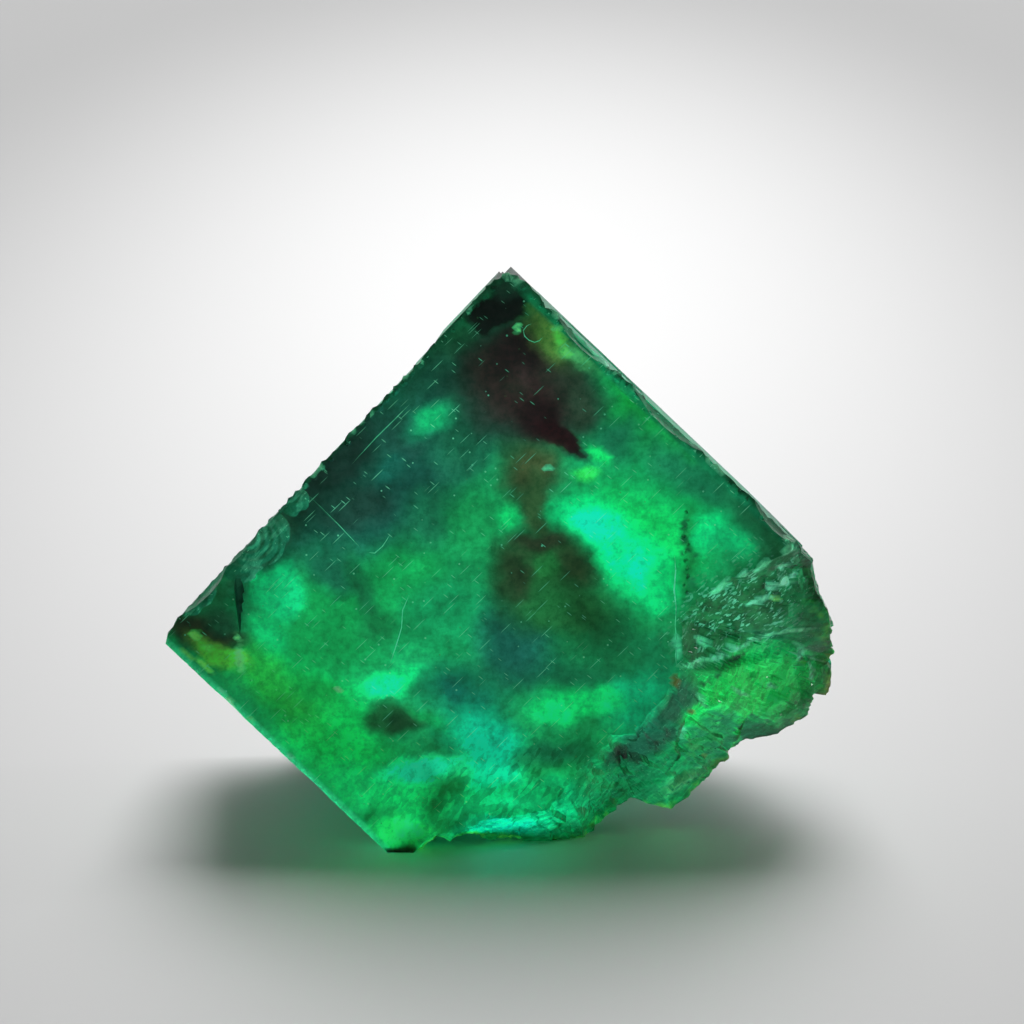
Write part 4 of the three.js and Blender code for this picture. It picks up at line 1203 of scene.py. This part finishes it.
def fluorite_material():
    sh = Shade("fluorite")
    axes = crystal_axes(sh)
    depth, left, right = plane_distances(sh, axes)
    on_front = sh.ramp(depth, 0.05, 0.02)
    on_side = sh.math("MAXIMUM", sh.ramp(sh.math("MINIMUM", left, right), 0.06, 0.03),
                      sh.math("MAXIMUM", sh.ramp(left, EDGE - 0.06, EDGE - 0.03),
                              sh.ramp(depth, DEPTH - 0.06, DEPTH - 0.03)))
    worn, foot, healed = sh.split(sh.painted("marks"))
    cloud = sh.noise(axes, 2.4, 5.0, 0.75)
    color = sh.vec("SCALE", sh.painted("tint"), scale=sh.ramp(cloud, 0.3, 0.7, 0.45, 1.75))

    # small cleavage blocks on the break, inside the foot of the stone and below the veil
    _, block_level, _ = cells(sh, axes, (0.42, 0.17, 0.3), 55, 0.0, BLOCK_TILT)
    blocky = sh.ramp(block_level, 0.0, 1.0, -0.5, 0.55)
    broken = sh.math("MULTIPLY", sh.ramp(on_front, 0.0, 1.0, 0.7, 0.0), sh.ramp(on_side, 1.0, 0.0))
    busy = sh.math("MAXIMUM", broken, sh.math("MAXIMUM", foot, sh.math("MULTIPLY", healed, 0.8)))
    color = sh.vec("SCALE", color, scale=sh.math("MULTIPLY_ADD", busy, blocky, 1.0))

    # scratches, specks and, below the veil, small bright chips, which are partly painted glints
    long_ones, short_ones = (dots(sh, axes, (3.2, 0.12, 0.12), 44, 0.13),
                             dots(sh, axes, (1.2, 0.14, 0.14), -38, 0.13, 7.3))
    scratch = sh.math("MAXIMUM", some(sh, long_ones, "LESS_THAN", 0.9),
                      some(sh, short_ones, "LESS_THAN", 0.6))
    specks = dots(sh, axes, (0.42, 0.42, 0.42), 20, 0.12, 3.1)
    pale, dark = some(sh, specks, "LESS_THAN", 0.25), some(sh, specks, "GREATER_THAN", 0.7)
    _, _, chip_level = cells(sh, axes, (0.22, 0.09, 0.2), 40, 5.0, BLOCK_TILT)
    patchy = sh.math("MULTIPLY", sh.ramp(sh.noise(axes, 0.9, 3.0, 0.6), 0.4, 0.6), healed)
    chips = sh.math("MULTIPLY", sh.ramp(chip_level, 0.78, 0.95), patchy)
    mark = sh.math("MAXIMUM", sh.math("MULTIPLY", chips, 0.6), sh.math(
        "MULTIPLY", sh.math("MAXIMUM", scratch, pale), worn))
    dark = sh.math("MULTIPLY", dark, sh.ramp(cloud, 0.45, 0.6))
    color = sh.mix(sh.math("MULTIPLY", dark, 0.8), color, (0.02, 0.03, 0.01))
    color = sh.mix(mark, color, (0.85, 1.0, 0.9))
    sh.put(sh.bsdf.inputs["Base Color"], color)
    cloudy = sh.math("MAXIMUM", mark, sh.split(sh.painted("solid"))[0])
    sh.put(sh.bsdf.inputs["Transmission Weight"], sh.ramp(cloudy, 0.0, 1.0, 1.0, 0.72))
    sh.bsdf.inputs["IOR"].default_value = FLUORITE_IOR
    sh.bsdf.inputs["Specular IOR Level"].default_value = 0.3
    rough = sh.mix(on_front, (0.55,) * 3, (0.40,) * 3)
    rough = sh.mix(on_side, rough, (0.6,) * 3)
    sh.put(sh.bsdf.inputs["Roughness"], rough)
    coat = sh.mix(on_front, sh.ramp(on_side, 0.0, 1.0, 0.4, 0.0), (0.3,) * 3)
    sh.put(sh.bsdf.inputs["Coat Weight"], coat)
    sh.bsdf.inputs["Coat Roughness"].default_value = 0.05
    sh.bsdf.inputs["Coat IOR"].default_value = FLUORITE_IOR
    absorb = sh.node("VolumeAbsorption")
    absorb.inputs["Color"].default_value = (0.66, 0.985, 0.88, 1)
    absorb.inputs["Density"].default_value = 260
    sh.put(sh.out.inputs["Volume"], absorb.outputs[0])
    return sh.mat


paint(crystal)
crystal.data.materials.clear()
crystal.data.materials.append(fluorite_material())
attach(crystal, "root")
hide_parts(NODE)


# ---- floor, light and camera ----------------------------------------------------------

VIEW_WIDTH = 1024 / 22.4 * MM  # how much of the crystal's plane the picture takes in


def add_floor():
    """A pale sheet with a painted pool of light: its colour is brightest around the crystal and
    runs off to a light grey.
    """
    bm = bmesh.new()
    bmesh.ops.create_grid(bm, x_segments=1, y_segments=1, size=2.0)
    floor = add_mesh("floor", bm)
    sh = Shade("floor")
    place = sh.node("Mapping", {
        "Vector": sh.node("TexCoord").outputs["Object"], "Location": (0, 0.13, 0),
        "Scale": (0.045, 0.215, 1)}, vector_type="TEXTURE")
    # painted pool of light: the floor colour fades with distance from the crystal
    light_pool = sh.ramp(sh.vec("LENGTH", place.outputs[0]), 0.0, 1.4)
    sh.put(sh.bsdf.inputs["Base Color"], sh.mix(light_pool, (0.92,) * 3, (0.33,) * 3))
    sh.bsdf.inputs["Roughness"].default_value = 0.6
    floor.data.materials.append(sh.mat)


def add_area(name, location, target, size, power):
    light = bpy.data.lights.new(name, "AREA")
    light.shape = "RECTANGLE"
    light.size, light.size_y = size
    light.energy = power
    obj = add_object(name, light)
    obj.location = location
    aim = Vector(target) - Vector(location)
    obj.rotation_euler = aim.to_track_quat("-Z", "Y").to_euler()


def add_camera():
    elevation, azimuth, distance = 11.0 * RAD, 0.5 * RAD, 250 * MM
    target = Vector(stand([0.58, 15.3, 0]))
    back = Vector((math.sin(azimuth) * math.cos(elevation),
                   -math.cos(azimuth) * math.cos(elevation), math.sin(elevation)))
    camera = bpy.data.cameras.new("camera")
    camera.sensor_width = 36
    camera.lens = camera.sensor_width * distance / VIEW_WIDTH
    camera.clip_start, camera.clip_end = 0.01, 20
    obj = add_object("camera", camera)
    obj.location = target + back * distance
    obj.rotation_euler = (-back).to_track_quat("-Z", "Y").to_euler()
    bpy.context.scene.camera = obj


add_floor()
add_camera()
add_area("key", (0.02, 0.78, 0.96), (0, 0, 0.01), (0.7, 1.1), 15.3)
add_area("glint", (0.80, 0.26, 0.26), (0, 0, 0.012), (0.05, 0.22), 0.5)


def add_world():
    """Soft studio light: bright behind and low, dim overhead, nearly dark in front."""
    world = bpy.data.worlds.new("studio")
    bpy.context.scene.world = world
    world.use_nodes = True
    sky = Nodes(world.node_tree)
    _, y, z = sky.split(sky.node("TexCoord").outputs["Generated"])
    glow = sky.math("MULTIPLY_ADD", sky.ramp(y, 0.1, 0.85, 0.0, 1.3),
                    sky.ramp(z, 0.15, 0.65, 1.0, 0.2), 0.04)
    back = sky.tree.nodes["Background"].inputs
    back["Color"].default_value = (1, 1, 1, 1)
    sky.put(back["Strength"], glow)


add_world()
bpy.context.scene.view_settings.view_transform = "Standard"
